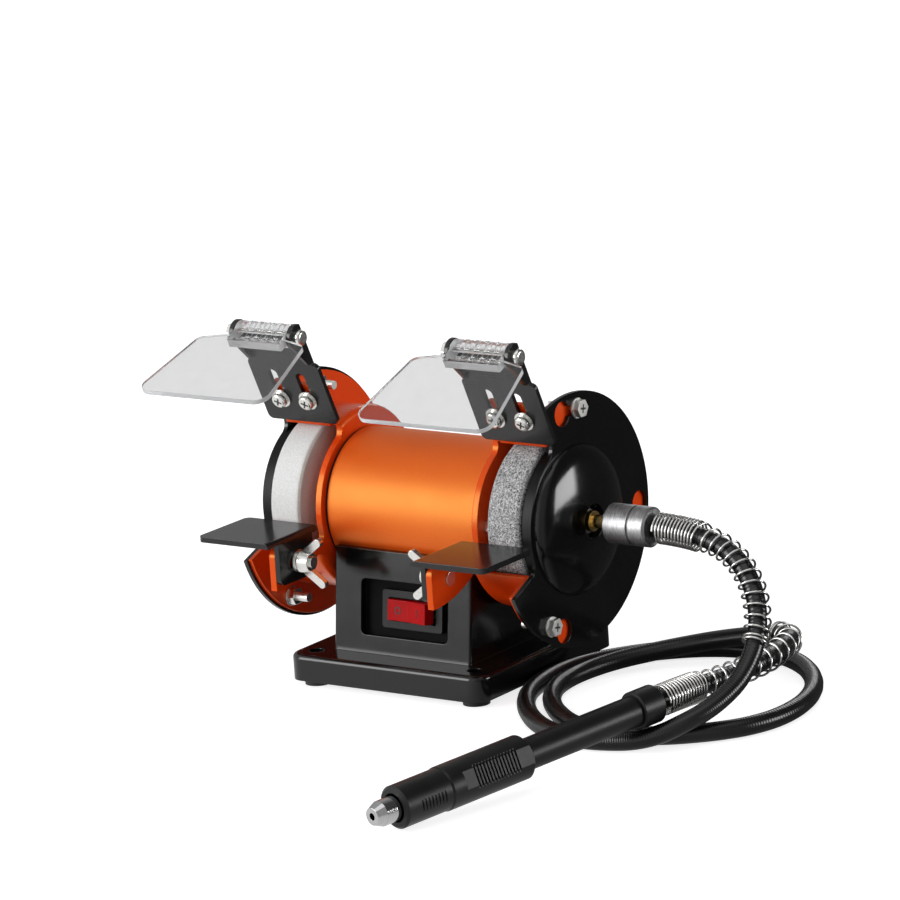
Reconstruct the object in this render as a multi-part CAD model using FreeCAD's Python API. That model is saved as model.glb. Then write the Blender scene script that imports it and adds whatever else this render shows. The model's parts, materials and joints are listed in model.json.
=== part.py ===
import FreeCAD, Part
import math
import os

V = FreeCAD.Vector
EX = V(1, 0, 0)
EY = V(0, 1, 0)
EZ = V(0, 0, 1)

# Frame: +X along the spindle towards the flexible shaft, -Y is the front with the switch, +Z up.
# The origin is the centre of the four bench bolt holes, on the plane that the feet stand on.
# All sizes are in millimetres, and angles round the spindle are in degrees from +Y towards +Z.

# Height of the spindle, which the pedestal's top, the switch, the rests and the brackets follow
AXIS_HEIGHT = 74.25

# Foot, pedestal and bottom cover
BASE_SIDE = 104.0
BASE_CORNER = 7.5
BASE_TOP = 14.7
BASE_EDGE_ROUND = 2.2
BASE_WALL = 3.0
FOOT_HEIGHT = 3.0
FOOT_RING_DIAMETER = 12.0
BENCH_HOLE_SPACING = 84.7
BENCH_HOLE_DIAMETER = 6.6
COVER_SCREW_SPACING = 87.0
COVER_SCREW_DIAMETER = 3.5
COVER_SCREW_HEAD = 6.5
BOTTOM_COVER_THICKNESS = 2.2
BOTTOM_COVER_GAP = 0.2
PEDESTAL_WIDTH = 72.8
PEDESTAL_DEPTH = 74.4
PEDESTAL_BELOW_AXIS = 14.25
PEDESTAL_LEAN = 7.1
PEDESTAL_CORNER = 1.2
PEDESTAL_INNER_CORNER = 2.0
PEDESTAL_WALL = 4.0
SADDLE_GAP = 0.1
SADDLE_FLOOR = 3.5

# Switch in the pedestal's front
SWITCH_X = 4.8
SWITCH_BELOW_AXIS = 39.25
RECESS_LEFT = -22.0
RECESS_RIGHT = 24.5
RECESS_HEIGHT = 25.0
RECESS_DEPTH = 4.0
RECESS_PAD = 3.0
RECESS_ROUND = 2.5
BEZEL_WIDTH = 32.0
BEZEL_HEIGHT = 17.0
BEZEL_THICKNESS = 3.0
BEZEL_ROUND = 1.5
SWITCH_BODY_WIDTH = 29.4
SWITCH_BODY_HEIGHT = 14.0
SWITCH_BODY_DEPTH = 13.0
SWITCH_FIT = 0.2
SWITCH_BACK_GAP = 1.0
ROCKER_WIDTH = 22.4
ROCKER_HEIGHT = 9.2
ROCKER_VALLEY = 1.2
ROCKER_END = 2.4
ROCKER_PIVOT_DEPTH = 4.0
ROCKER_SIDE_GAP = 1.3
ROCKER_TOP_GAP = 0.5
ROCKER_REST_TILT = -8.0
ROCKER_DEPTH = 3.0
ROCKER_PIN_DIAMETER = 2.4
ROCKER_PIN_REACH = 0.8
ROCKER_STEM_DIAMETER = 3.2

# Cord gland in the pedestal's back
GLAND_X = 0.0
GLAND_Z = 25.0
GLAND_FLANGE_DIAMETER = 16.0
GLAND_FLANGE_THICKNESS = 3.0
GLAND_NOSE_LENGTH = 11.0
GLAND_NOSE_DIAMETER = 10.5
GLAND_TIP_DIAMETER = 8.5
GLAND_BORE = 6.2
GLAND_NECK_DIAMETER = 11.0

# Motor
MOTOR_DIAMETER = 63.6
MOTOR_WALL = 2.0
MOTOR_HALF_LENGTH = 38.9
GASKET_THICKNESS = 1.3
GASKET_INSET = 0.4
STATOR_HALF_LENGTH = 16.0
STATOR_RING = 6.0
STATOR_FIT = 0.1
POLE_SPAN = 110.0
AIR_GAP = 0.5
COIL_CLEARANCE = 0.4
COIL_END_LENGTH = 5.5
ARMATURE_DIAMETER = 33.6
ARMATURE_SLOTS = 12
ARMATURE_SLOT_WIDTH = 2.0
ARMATURE_SLOT_DEPTH = 4.0
WINDING_LENGTH = 5.5
WINDING_DIAMETER = 29.0
COMMUTATOR_DIAMETER = 20.0
COMMUTATOR_LENGTH = 8.0
BRUSH_WIDTH = 5.0
BRUSH_GAP = 0.1
BRUSH_LENGTH = 9.0
BRUSH_HOLDER_WALL = 1.2
BRUSH_FIT = 0.1
FAN_DIAMETER = 46.0
FAN_HUB_DIAMETER = 20.0
FAN_WIDTH = 7.0
FAN_BLADES = 9
FAN_BLADE_THICKNESS = 1.2
THROUGH_BOLT_RADIUS = 27.0
THROUGH_BOLT_DIAMETER = 4.0
THROUGH_BOLT_HEAD = 7.0
THROUGH_BOLT_HEAD_HEIGHT = 2.6
BOLT_HOLE_CLEARANCE = 0.3

# Spindle, bearings and wheels
SPINDLE_DIAMETER = 10.0
SPINDLE_CORE_DIAMETER = 14.0
SPINDLE_CORE_HALF = 31.0
SPINDLE_OVER_NUT = 1.5
RUNNING_FIT = 0.04
SEAT_FIT = 0.02
BEARING_DIAMETER = 26.0
BEARING_WIDTH = 8.0
WHEEL_DIAMETER = 75.0
WHEEL_WIDTH = 16.0
WHEEL_EDGE = 1.0
HUB_FLANGE_DIAMETER = 30.0
HUB_FLANGE_THICKNESS = 4.0
HUB_FLANGE_RELIEF = 1.0
WHEEL_TO_WALL = 6.8
WHEEL_TO_COVER = 3.7
WHEEL_RIM_GAP = 1.6
NUT_ACROSS_FLATS = 13.0
NUT_HEIGHT = 6.0

# Guards and covers
GUARD_WALL = 3.0
GUARD_DRUM_WALL = 1.5
GUARD_CORNER = 3.0
GUARD_FLANGE_WIDTH = 13.7
GUARD_FLANGE_THICKNESS = 1.9
GUARD_RIM_BELOW_WHEEL = 2.9
GUARD_SPIGOT_LENGTH = 4.0
GUARD_SPIGOT_WALL = 2.2
GUARD_BOSS_WALL = 3.0
SPINDLE_HOLE_CLEARANCE = 3.0
OPENING_TOP = 113.5
OPENING_BOTTOM_LEFT = 200.5
OPENING_BOTTOM_RIGHT = 205.0
OPENING_ROUND = 5.0
COVER_OVERHANG = 1.3
COVER_THICKNESS = 1.9
COVER_RIM_BELOW_WHEEL = 2.1
COVER_LIP_GAP = 0.8
DOME_RADIUS = 33.0
DOME_HEIGHT = 9.0
DOME_HOLE_DIAMETER = 15.0
DOME_FLAT_DIAMETER = 2.0
COVER_BOLT_TO_DRUM = 7.9
COVER_BOLT_ANGLES = (85.0, -18.0, -121.0)
COVER_BOLT_DIAMETER = 4.0
COVER_BOLT_LENGTH = 14.0
COVER_BOLT_FLATS = 7.0
COVER_BOLT_HEAD = 2.8
COVER_WASHER_DIAMETER = 9.0
COVER_WASHER_THICKNESS = 0.8
COVER_NUT_HEIGHT = 3.2
KEYHOLE_DIAMETER = 11.0
KEYHOLE_TURN = 13.0

# Tool rests, on the guards' lower tabs
REST_BELOW_AXIS = 2.45
REST_SHEET = 2.5
REST_TO_WHEEL = 4.0
REST_DEPTH = 36.0
REST_OUTER = 76.0
REST_CORNER = 3.0
REST_BEND = 3.0
REST_LEG_INSET = 4.0
REST_LEG_DEPTH = 24.5
REST_LEG_HEIGHT = 20.8
REST_LEG_GAP = 0.1
REST_TRAVEL_IN = 3.5
REST_TRAVEL_OUT = 4.5
REST_BOLT_IN_LEG = 11.5
REST_BOLT_BELOW_TOP = 12.3
REST_BOLT_DIAMETER = 5.0
REST_BOLT_HEAD = 6.4
REST_BOLT_HEAD_HEIGHT = 0.8
REST_BOLT_OVER_NUT = 1.1
REST_TAB_REACH = 29.4
REST_TAB_BELOW_TOP = 4.2
REST_TAB_HEIGHT = 19.0
REST_TAB_CORNER = 4.0
REST_TAB_HOLLOW_START = 3.3
REST_TAB_HOLLOW_END = 31.2
REST_TAB_HOLLOW_RISE = 8.8
REST_TAB_HOLLOW_SAG = 1.8
WASHER_DIAMETER = 10.0
WASHER_THICKNESS = 1.0
WASHER_PLAY = 0.05
LOCK_WASHER_DIAMETER = 8.4
LOCK_WASHER_THICKNESS = 1.4
WING_HUB_LENGTH = 5.0
WING_HUB_DIAMETER = 10.0
WING_HUB_TOP_DIAMETER = 8.0
WING_TIP_RADIUS = 9.4
WING_TIP_RISE = 4.8
WING_WIDTH = 3.6
WING_THICKNESS = 2.6
WING_NUT_TURN = 5.0

# Shield brackets: a flat plate that leans forward, X across, s up the plate, n out to the front
BRACKET_OFF_WHEEL = -0.6
BRACKET_Y = -19.7
BRACKET_BELOW_DRUM = 3.15
BRACKET_LEAN = 24.2
BRACKET_SHEET = 2.0
BRACKET_WIDTH = 37.8
BRACKET_HEIGHT = 32.0
BRACKET_CORNER = 2.5
BRACKET_NECK_WIDTH = 33.0
BRACKET_NECK_TOP = 41.5
BRACKET_SCREW_S = 12.4
BRACKET_SCREW_SPACING = 14.6
BRACKET_SLOT_WIDTH = 4.6
BRACKET_SLOT_LENGTH = 12.0
BRACKET_SLIDE_GAP = 0.1
BRACKET_TAB_WIDTH = 24.0
BRACKET_TAB_TOP = 19.0
BRACKET_TAB_ROOT = -3.2
BRACKET_TAB_SHEET = 2.0
SCREW_DIAMETER = 4.0
SCREW_HEAD = 7.2
SCREW_HEAD_HEIGHT = 2.8
SCREW_WASHER = 9.2
SCREW_WASHER_THICKNESS = 0.8
SCREW_END = 4.0
HINGE_S = 48.5
HINGE_N = 2.0
EAR_RADIUS = 6.0
EAR_SHEET = 2.0
HINGE_BOLT_DIAMETER = 4.0
HINGE_FIT = 0.06
HINGE_HEAD = 7.4
HINGE_HEAD_HEIGHT = 3.0
HINGE_NUT_HEIGHT = 3.2

# Eye shields
SHIELD_SHEET = 2.0
SHIELD_OFFSET = 2.4
SHIELD_SLOPE_LEFT = 21.8
SHIELD_SLOPE_RIGHT = 26.0
SHIELD_LENGTH = 53.0
SHIELD_SHOULDER = 11.0
SHIELD_SHOULDER_WIDTH = 57.0
SHIELD_WIDTH = 70.0
SHIELD_CORNER = 6.0
SHIELD_SHOULDER_ROUND = 4.0
BARREL_DIAMETER = 10.4
BARREL_RING_DIAMETER = 11.4
BARREL_RING_WIDTH = 2.4
BARREL_RINGS = 6
SHIELD_LAND_START = 3.0
SHIELD_LAND_END = 10.0
SHIELD_LAND_BELOW = 1.5
BARREL_END_GAP = 0.4

# Flexible shaft
COUPLING_DIAMETER = 6.0
COUPLING_NUT_DIAMETER = 9.0
COUPLING_NUT_LENGTH = 4.0
SLEEVE_DIAMETER = 17.6
SLEEVE_TO_DOME = 8.7
SLEEVE_LENGTH = 21.7
SLEEVE_RING_LENGTH = 8.0
SLEEVE_GROOVE_WIDTH = 1.2
SLEEVE_GROOVE_DEPTH = 0.8
SLEEVE_CHAMFER = 1.0
BUSH_WALL = 2.5
BUSH_LENGTH = 12.0
HOSE_DIAMETER = 8.2
HOSE_FIT = 0.1
WIRE_DIAMETER = 1.0
CLOSE_RADIUS = 6.4
OPEN_RADIUS = 5.5
CLOSE_PITCH = 1.7
DRIVE_SPRING_CLOSE_TURNS = 12
DRIVE_SPRING_OPEN_TURNS = 12
DRIVE_SPRING_OPEN_PITCH = 5.0
HAND_SPRING_CLOSE_TURNS = 13
HAND_SPRING_OPEN_TURNS = 12
HAND_SPRING_OPEN_PITCH = 8.0

# Handpiece: its axis runs from the collet's tip to the rear end that the hose leaves
TIP_X = 114.3
TIP_Y = -217.5
TIP_Z = 8.7
REAR_X = 151.6
REAR_Y = -67.2
REAR_Z = 19.3
TIP = V(TIP_X, TIP_Y, TIP_Z)
REAR = V(REAR_X, REAR_Y, REAR_Z)
NUT_NOSE_LENGTH = 15.0
NUT_NOSE_DIAMETER = 10.8
NUT_TIP_DIAMETER = 7.4
NUT_TAPER_LENGTH = 4.0
COLLET_BORE = 3.2
COLLET_DEPTH = 22.0
GRIP_START = 11.5
GRIP_LENGTH = 69.3
GRIP_DIAMETER = 19.0
GRIP_FRONT_DIAMETER = 18.2
GRIP_FRONT_LENGTH = 24.0
GRIP_STEP_LENGTH = 1.0
GRIP_EDGE = 1.0
GRIP_MOUTH_GAP = 0.8
GRIP_MOUTH_DEPTH = 4.5
GRIP_THROAT_GAP = 0.6
GRIP_REAR_CHAMFER = 1.5
GRIP_SLIDE = 4.0
GRIP_PANEL_START = 31.5
GRIP_PANEL_RADIUS = 8.7
GRIP_PANEL_TURN = -20.0
GRIP_PANEL_RIBS = 14
GRIP_PANEL_RIB_START = 37.5
GRIP_PANEL_RIB_PITCH = 1.7
GRIP_PANEL_RIB_DEPTH = 0.6
GRIP_FRONT_RIBS = 8
GRIP_FRONT_RIB_START = 7.5
GRIP_FRONT_RIB_PITCH = 1.75
GRIP_FRONT_RIB_DEPTH = 0.4
TUBE_DIAMETER = 13.4
TUBE_START = 26.0
COLLAR_DIAMETER = 16.4
COLLAR_LENGTH = 12.5
HAND_SPINDLE_DIAMETER = 7.0
HAND_SPINDLE_LENGTH = 40.0

# Places worked out from the sizes
PEDESTAL_TOP = AXIS_HEIGHT - PEDESTAL_BELOW_AXIS
SWITCH_Z = AXIS_HEIGHT - SWITCH_BELOW_AXIS
MOTOR_RADIUS = MOTOR_DIAMETER / 2
MOTOR_BORE = MOTOR_RADIUS - MOTOR_WALL
WALL_X = MOTOR_HALF_LENGTH + GASKET_THICKNESS
WALL_OUT_X = WALL_X + GUARD_WALL
WHEEL_X = WALL_OUT_X + WHEEL_TO_WALL
WHEEL_OUT_X = WHEEL_X + WHEEL_WIDTH
WHEEL_RADIUS = WHEEL_DIAMETER / 2
FLANGE_X = WHEEL_OUT_X + WHEEL_TO_COVER
COVER_X = FLANGE_X + COVER_THICKNESS
DOME_TOP_X = COVER_X + DOME_HEIGHT
NUT_X = WHEEL_OUT_X + HUB_FLANGE_THICKNESS
SPINDLE_END = NUT_X + NUT_HEIGHT + SPINDLE_OVER_NUT
SLEEVE_START = DOME_TOP_X + SLEEVE_TO_DOME
SLEEVE_END = SLEEVE_START + SLEEVE_LENGTH
BEARING_X = WALL_X - BEARING_WIDTH + 1.0
DRUM_BORE = WHEEL_RADIUS + WHEEL_RIM_GAP
DRUM_RADIUS = DRUM_BORE + GUARD_DRUM_WALL
FLANGE_RADIUS = DRUM_RADIUS + GUARD_FLANGE_WIDTH
COVER_RADIUS = FLANGE_RADIUS + COVER_OVERHANG
COVER_BOLT_RADIUS = DRUM_RADIUS + COVER_BOLT_TO_DRUM
GUARD_RIM_RADIUS = WHEEL_RADIUS - GUARD_RIM_BELOW_WHEEL
COVER_OPENING_RADIUS = WHEEL_RADIUS - COVER_RIM_BELOW_WHEEL
SPINDLE_RADIUS = SPINDLE_DIAMETER / 2
ARMATURE_RADIUS = ARMATURE_DIAMETER / 2
STATOR_RADIUS = MOTOR_BORE - STATOR_FIT
LEG_X = WALL_X - REST_LEG_GAP
REST_TOP = AXIS_HEIGHT - REST_BELOW_AXIS
REST_BACK = -WHEEL_RADIUS - REST_TO_WHEEL
REST_FRONT = REST_BACK - REST_DEPTH
REST_LEG_BACK = REST_BACK - REST_LEG_INSET
REST_LEG_FRONT = REST_LEG_BACK - REST_LEG_DEPTH
REST_LEG_BOTTOM = REST_TOP - REST_LEG_HEIGHT
REST_BOLT_Y = REST_LEG_BACK - REST_BOLT_IN_LEG
REST_BOLT_Z = REST_TOP - REST_BOLT_BELOW_TOP
REST_TAB_FRONT = -DRUM_RADIUS - REST_TAB_REACH
REST_TAB_TOP = REST_TOP - REST_TAB_BELOW_TOP
REST_TAB_BOTTOM = REST_TAB_TOP - REST_TAB_HEIGHT
BRACKET_X = (WHEEL_X + WHEEL_OUT_X) / 2 + BRACKET_OFF_WHEEL
BRACKET_Z = AXIS_HEIGHT + DRUM_RADIUS - BRACKET_BELOW_DRUM
CENTRE = V(0, 0, AXIS_HEIGHT)

# Hose route, from the sleeve's mouth to the handpiece's rear, lying on the bench in two loops
FLOOR = HOSE_DIAMETER / 2 + 0.2
HOSE_ROUTE = [
    V(SLEEVE_END, 0, AXIS_HEIGHT),
    V(131, 0, 74),
    V(152, -2, 68),
    V(166.3, -8, 54),
    V(173, -18.5, 36.5),
    V(173.2, -33, 23.5),
    V(171.8, -46.5, 17.8),
    V(168.6, -56.8, 14),
    V(163.7, -65.2, 11),
    V(156.2, -73, 7.2),
    V(146.5, -77.4, 4.9),
    V(136, -80.3, FLOOR),
    V(124, -82.5, FLOOR),
    V(109.5, -79.5, FLOOR),
    V(95, -71.5, FLOOR),
    V(82, -60, FLOOR),
    V(70.5, -46, FLOOR),
    V(62.3, -31, FLOOR),
    V(57.9, -14, FLOOR),
    V(57, 1.5, FLOOR),
    V(59.8, 15, FLOOR),
    V(66, 28, FLOOR),
    V(74, 39, FLOOR),
    V(83.5, 48.5, FLOOR),
    V(95, 56.5, FLOOR),
    V(109, 61.5, FLOOR),
    V(124, 62, FLOOR),
    V(140, 57, FLOOR),
    V(155.5, 46, FLOOR),
    V(169, 30, FLOOR),
    V(178, 13, FLOOR),
    V(183, -5, FLOOR),
    V(183.5, -23.5, FLOOR),
    V(179, -38, FLOOR),
    V(172, -48, FLOOR),
    V(164.5, -55.5, FLOOR),
    V(154.2, -63.5, FLOOR),
    V(141, -69.5, FLOOR),
    V(126, -71.5, FLOOR),
    V(110.5, -66.5, FLOOR),
    V(96, -56.5, FLOOR),
    V(84.5, -45.5, FLOOR),
    V(75.5, -33.5, FLOOR),
    V(69, -20, FLOOR),
    V(66.6, -7, FLOOR),
    V(67.8, 7, 4.8),
    V(74, 21.5, 6),
    V(84.5, 34.5, 7.4),
    V(96, 43, 9.3),
    V(108, 47.8, 11.6),
    V(121, 49.6, 14),
    V(136.5, 50.6, 16.5),
    V(145.7, 46.7, 17.6),
    V(152.1, 39, 18.1),
    V(155.3, 26, 18.2),
    V(158.1, 8, 18),
    V(157.2, -10, 18),
    V(155.7, -28, 18.5),
    V(155.15, -52.9, 20.31),
    REAR,
]


def polygon_face(points):
    return Part.Face(Part.makePolygon(list(points) + [points[0]]))


def turned(profile, base=CENTRE):
    """Solid of revolution about an X axis through base, from (x, radius) points."""
    return polygon_face([base + V(x, 0, r) for x, r in profile]).revolve(base, EX, 360)


def rod(x0, x1, diameter, y=0.0, z=AXIS_HEIGHT):
    return Part.makeCylinder(diameter / 2, x1 - x0, V(x0, y, z), EX)


def ring(x0, x1, outer, inner, y=0.0, z=AXIS_HEIGHT):
    return rod(x0, x1, outer, y, z).cut(rod(x0, x1, inner, y, z))


def hexagon(x0, x1, flats, y=0.0, z=AXIS_HEIGHT):
    """Hexagonal prism along X."""
    corner = flats / math.sqrt(3)
    points = []
    for k in range(6):
        angle = math.radians(60 * k)
        points.append(V(x0, y + corner * math.cos(angle), z + corner * math.sin(angle)))
    return polygon_face(points).extrude(V(x1 - x0, 0, 0))


def spindle_matrix():
    """Maps local Z to the spindle's +X, local X to +Y and local Y to +Z."""
    return FreeCAD.Matrix(0, 0, 1, 0, 1, 0, 0, 0, 0, 1, 0, AXIS_HEIGHT, 0, 0, 0, 1)


def placed(shape, matrix):
    copy = shape.copy()
    copy.Placement = FreeCAD.Placement(matrix).multiply(copy.Placement)
    return copy


def sector(x0, x1, outer, inner, start, end):
    """Ring sector about the spindle, between two angles."""
    span = end - start
    piece = Part.makeCylinder(outer, x1 - x0, V(0, 0, x0), EZ, span)
    piece = piece.cut(Part.makeCylinder(inner, x1 - x0, V(0, 0, x0), EZ))
    piece.rotate(V(0, 0, 0), EZ, start)
    return placed(piece, spindle_matrix())


def at_angle(radius, angle):
    """(y, z) at a radius and an angle round the spindle."""
    turn = math.radians(angle)
    return radius * math.cos(turn), AXIS_HEIGHT + radius * math.sin(turn)


def mirrored(shape):
    return shape.mirror(V(0, 0, 0), EX)


def block(x0, x1, y0, y1, z0, z1):
    return Part.makeBox(x1 - x0, y1 - y0, z1 - z0, V(x0, y0, z0))


def rounded_wire(width, depth, corner, centre):
    """Rounded rectangle in a level plane."""
    plain = block(-width / 2, width / 2, -depth / 2, depth / 2, 0, 1)
    upright = [e for e in plain.Edges if abs(e.tangentAt(e.FirstParameter).z) > 0.9]
    face = [f for f in plain.makeFillet(corner, upright).Faces if abs(f.CenterOfMass.z) < 1e-6][0]
    wire = face.OuterWire.copy()
    wire.translate(centre)
    return wire


def rounded_slab(width, depth, corner, z0, z1):
    face = Part.Face(rounded_wire(width, depth, corner, V(0, 0, z0)))
    return face.extrude(V(0, 0, z1 - z0))


def joined(first, *others):
    return first.fuse(list(others)).removeSplitter()


def only_solid(shape):
    """The shape as one solid, where a cut or join left it in a compound."""
    solids = shape.Solids
    if len(solids) != 1:
        raise ValueError("expected one solid, found %d" % len(solids))
    return solids[0]


# Pedestal geometry

def lean_shift(z):
    """How far the leaning front and back faces have moved inward at height z."""
    return (z - BASE_TOP) * math.tan(math.radians(PEDESTAL_LEAN))


def face_matrix(x, z, front):
    """Local X across, local Y up the leaning face, local Z outward, origin on the face."""
    sign = -1.0 if front else 1.0
    lean = math.radians(PEDESTAL_LEAN)
    across = V(-sign, 0, 0)
    up = V(0, -sign * math.sin(lean), math.cos(lean))
    out = across.cross(up)
    y = sign * (PEDESTAL_DEPTH / 2 - lean_shift(z))
    return FreeCAD.Matrix(across.x, up.x, out.x, x, across.y, up.y, out.y, y,
                          across.z, up.z, out.z, z, 0, 0, 0, 1)


def pedestal_block(z0, z1, wall, corner):
    """Leaning pedestal between two heights, drawn in by a wall."""
    wires = []
    for z in (z0, z1):
        depth = PEDESTAL_DEPTH - 2 * lean_shift(z) - 2 * wall
        wires.append(rounded_wire(PEDESTAL_WIDTH - 2 * wall, depth, corner, V(0, 0, z)))
    return Part.makeLoft(wires, True, True)


def bench_hole_places():
    half = BENCH_HOLE_SPACING / 2
    return [(sx * half, sy * half) for sx in (-1, 1) for sy in (-1, 1)]


def upright(x, y, diameter, z0, z1):
    return Part.makeCylinder(diameter / 2, z1 - z0, V(x, y, z0), EZ)


def cover_screw_places():
    return [(-COVER_SCREW_SPACING / 2, 0.0), (COVER_SCREW_SPACING / 2, 0.0)]


def switch_window():
    """Hole for the switch body, through the pedestal's front wall."""
    width = SWITCH_BODY_WIDTH + 2 * SWITCH_FIT
    height = SWITCH_BODY_HEIGHT + 2 * SWITCH_FIT
    depth = RECESS_DEPTH + SWITCH_BODY_DEPTH + SWITCH_BACK_GAP
    return block(-width / 2, width / 2, -height / 2, height / 2, -depth, 1)


def switch_recess():
    width = RECESS_RIGHT - RECESS_LEFT
    shape = rounded_slab(width, RECESS_HEIGHT, RECESS_ROUND, -RECESS_DEPTH, 5)
    shape.translate(V((RECESS_LEFT + RECESS_RIGHT) / 2 - SWITCH_X, 0, 0))
    return shape


def recess_pad():
    """Thicker wall behind the recess, inside the pedestal."""
    half = RECESS_HEIGHT / 2 + RECESS_PAD
    x0 = RECESS_LEFT - SWITCH_X - RECESS_PAD
    x1 = RECESS_RIGHT - SWITCH_X + RECESS_PAD
    return block(x0, x1, -half, half, -RECESS_DEPTH - RECESS_PAD, -PEDESTAL_WALL / 2)


def base_housing():
    foot = rounded_slab(BASE_SIDE, BASE_SIDE, BASE_CORNER, FOOT_HEIGHT, BASE_TOP)
    rim = [e for e in foot.Edges if abs(e.CenterOfMass.z - BASE_TOP) < 1e-6]
    foot = foot.makeFillet(BASE_EDGE_ROUND, rim)
    inner_side = BASE_SIDE - 2 * BASE_WALL
    foot = foot.cut(rounded_slab(inner_side, inner_side, BASE_CORNER - BASE_WALL / 2,
                                 FOOT_HEIGHT, BASE_TOP - BASE_WALL))
    shell = foot.fuse(pedestal_block(BASE_TOP - BASE_WALL, PEDESTAL_TOP, 0, PEDESTAL_CORNER))
    cavity_top = AXIS_HEIGHT - MOTOR_RADIUS - SADDLE_FLOOR
    shell = shell.cut(pedestal_block(FOOT_HEIGHT, cavity_top, PEDESTAL_WALL, PEDESTAL_INNER_CORNER))
    front = face_matrix(SWITCH_X, SWITCH_Z, True)
    shell = shell.fuse(placed(recess_pad(), front))
    shell = shell.cut(rod(-BASE_SIDE / 2, BASE_SIDE / 2, MOTOR_DIAMETER + 2 * SADDLE_GAP))
    for x, y in bench_hole_places():
        shell = shell.fuse(upright(x, y, FOOT_RING_DIAMETER, FOOT_HEIGHT, BASE_TOP - BASE_WALL))
    for x, y in cover_screw_places():
        shell = shell.fuse(upright(x, y, COVER_SCREW_HEAD + 2, cover_top(), BASE_TOP - BASE_WALL))
    for x, y in bench_hole_places():
        shell = shell.cut(upright(x, y, BENCH_HOLE_DIAMETER, 0, BASE_TOP + BASE_WALL))
    for x, y in cover_screw_places():
        shell = shell.cut(upright(x, y, COVER_SCREW_DIAMETER + 2 * SEAT_FIT, 0, BASE_TOP - BASE_WALL))
        shell = shell.cut(upright(x, y, COVER_SCREW_HEAD + 2 * BOLT_HOLE_CLEARANCE, 0, cover_bottom()))
    shell = shell.cut(placed(switch_recess(), front))
    shell = shell.cut(placed(switch_window(), front))
    back = face_matrix(GLAND_X, GLAND_Z, False)
    neck = GLAND_NECK_DIAMETER / 2 + SEAT_FIT
    depth = 2 * PEDESTAL_WALL
    shell = shell.cut(placed(Part.makeCylinder(neck, depth, V(0, 0, -depth), EZ), back))
    return only_solid(shell.removeSplitter())


def cover_bottom():
    return FOOT_HEIGHT + 0.4


def cover_top():
    return cover_bottom() + BOTTOM_COVER_THICKNESS


def bottom_cover():
    side = BASE_SIDE - 2 * BASE_WALL - 2 * BOTTOM_COVER_GAP
    plate = rounded_slab(side, side, BASE_CORNER - BASE_WALL / 2, cover_bottom(), cover_top())
    for x, y in bench_hole_places():
        plate = plate.cut(upright(x, y, FOOT_RING_DIAMETER + 2 * BOTTOM_COVER_GAP, 0, BASE_TOP))
    for x, y in cover_screw_places():
        plate = plate.cut(upright(x, y, COVER_SCREW_DIAMETER + 2 * BOLT_HOLE_CLEARANCE, 0, BASE_TOP))
    return only_solid(plate)


def bottom_cover_screws():
    screws = []
    for x, y in cover_screw_places():
        head = upright(x, y, COVER_SCREW_HEAD, cover_bottom() - 1.8, cover_bottom())
        shank = upright(x, y, COVER_SCREW_DIAMETER, cover_bottom() - 0.5, BASE_TOP - BASE_WALL - 0.5)
        screws.append(only_solid(joined(head, shank)))
    return Part.makeCompound(screws)


def ring_feet():
    feet = []
    for x, y in bench_hole_places():
        foot = upright(x, y, FOOT_RING_DIAMETER, 0, FOOT_HEIGHT)
        feet.append(only_solid(foot.cut(upright(x, y, BENCH_HOLE_DIAMETER, 0, FOOT_HEIGHT))))
    return Part.makeCompound(feet)


def cord_gland():
    tip = GLAND_FLANGE_THICKNESS + GLAND_NOSE_LENGTH
    nose = Part.makeCone(GLAND_NOSE_DIAMETER / 2, GLAND_TIP_DIAMETER / 2, GLAND_NOSE_LENGTH,
                         V(0, 0, GLAND_FLANGE_THICKNESS), EZ)
    flange = Part.makeCylinder(GLAND_FLANGE_DIAMETER / 2, GLAND_FLANGE_THICKNESS)
    neck_length = PEDESTAL_WALL + 3
    neck = Part.makeCylinder(GLAND_NECK_DIAMETER / 2, neck_length, V(0, 0, -neck_length), EZ)
    body = joined(nose, flange, neck)
    body = body.cut(Part.makeCylinder(GLAND_BORE / 2, tip + neck_length, V(0, 0, -neck_length), EZ))
    return only_solid(placed(body, face_matrix(GLAND_X, GLAND_Z, False)))


# Switch, in the front face's own frame

def switch_frame():
    floor = -RECESS_DEPTH
    bezel = rounded_slab(BEZEL_WIDTH, BEZEL_HEIGHT, BEZEL_ROUND, floor, floor + BEZEL_THICKNESS)
    half_w = SWITCH_BODY_WIDTH / 2
    half_h = SWITCH_BODY_HEIGHT / 2
    body = block(-half_w, half_w, -half_h, half_h, floor - SWITCH_BODY_DEPTH, floor)
    open_w = ROCKER_WIDTH / 2 + ROCKER_SIDE_GAP
    open_h = ROCKER_HEIGHT / 2 + ROCKER_TOP_GAP
    well = block(-open_w, open_w, -open_h, open_h, floor - SWITCH_BODY_DEPTH + 2, 5)
    pins = rocker_axle(ROCKER_PIN_DIAMETER + 2 * RUNNING_FIT, open_h + ROCKER_PIN_REACH + RUNNING_FIT)
    frame = joined(bezel, body).cut(well).cut(pins)
    return only_solid(placed(frame, face_matrix(SWITCH_X, SWITCH_Z, True)))


def rocker_axle(diameter, half_length):
    """Rod along the rocker's pivot, up the face."""
    return Part.makeCylinder(diameter / 2, 2 * half_length, V(0, -half_length, -ROCKER_PIVOT_DEPTH), EY)


def rocker_profile():
    """Section across the rocker, a shallow valley in the middle, round the pivot's depth."""
    half = ROCKER_WIDTH / 2
    bottom = -ROCKER_DEPTH
    return [V(-half, 0, bottom), V(half, 0, bottom), V(half, 0, ROCKER_END),
            V(0, 0, ROCKER_VALLEY), V(-half, 0, ROCKER_END)]


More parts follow.
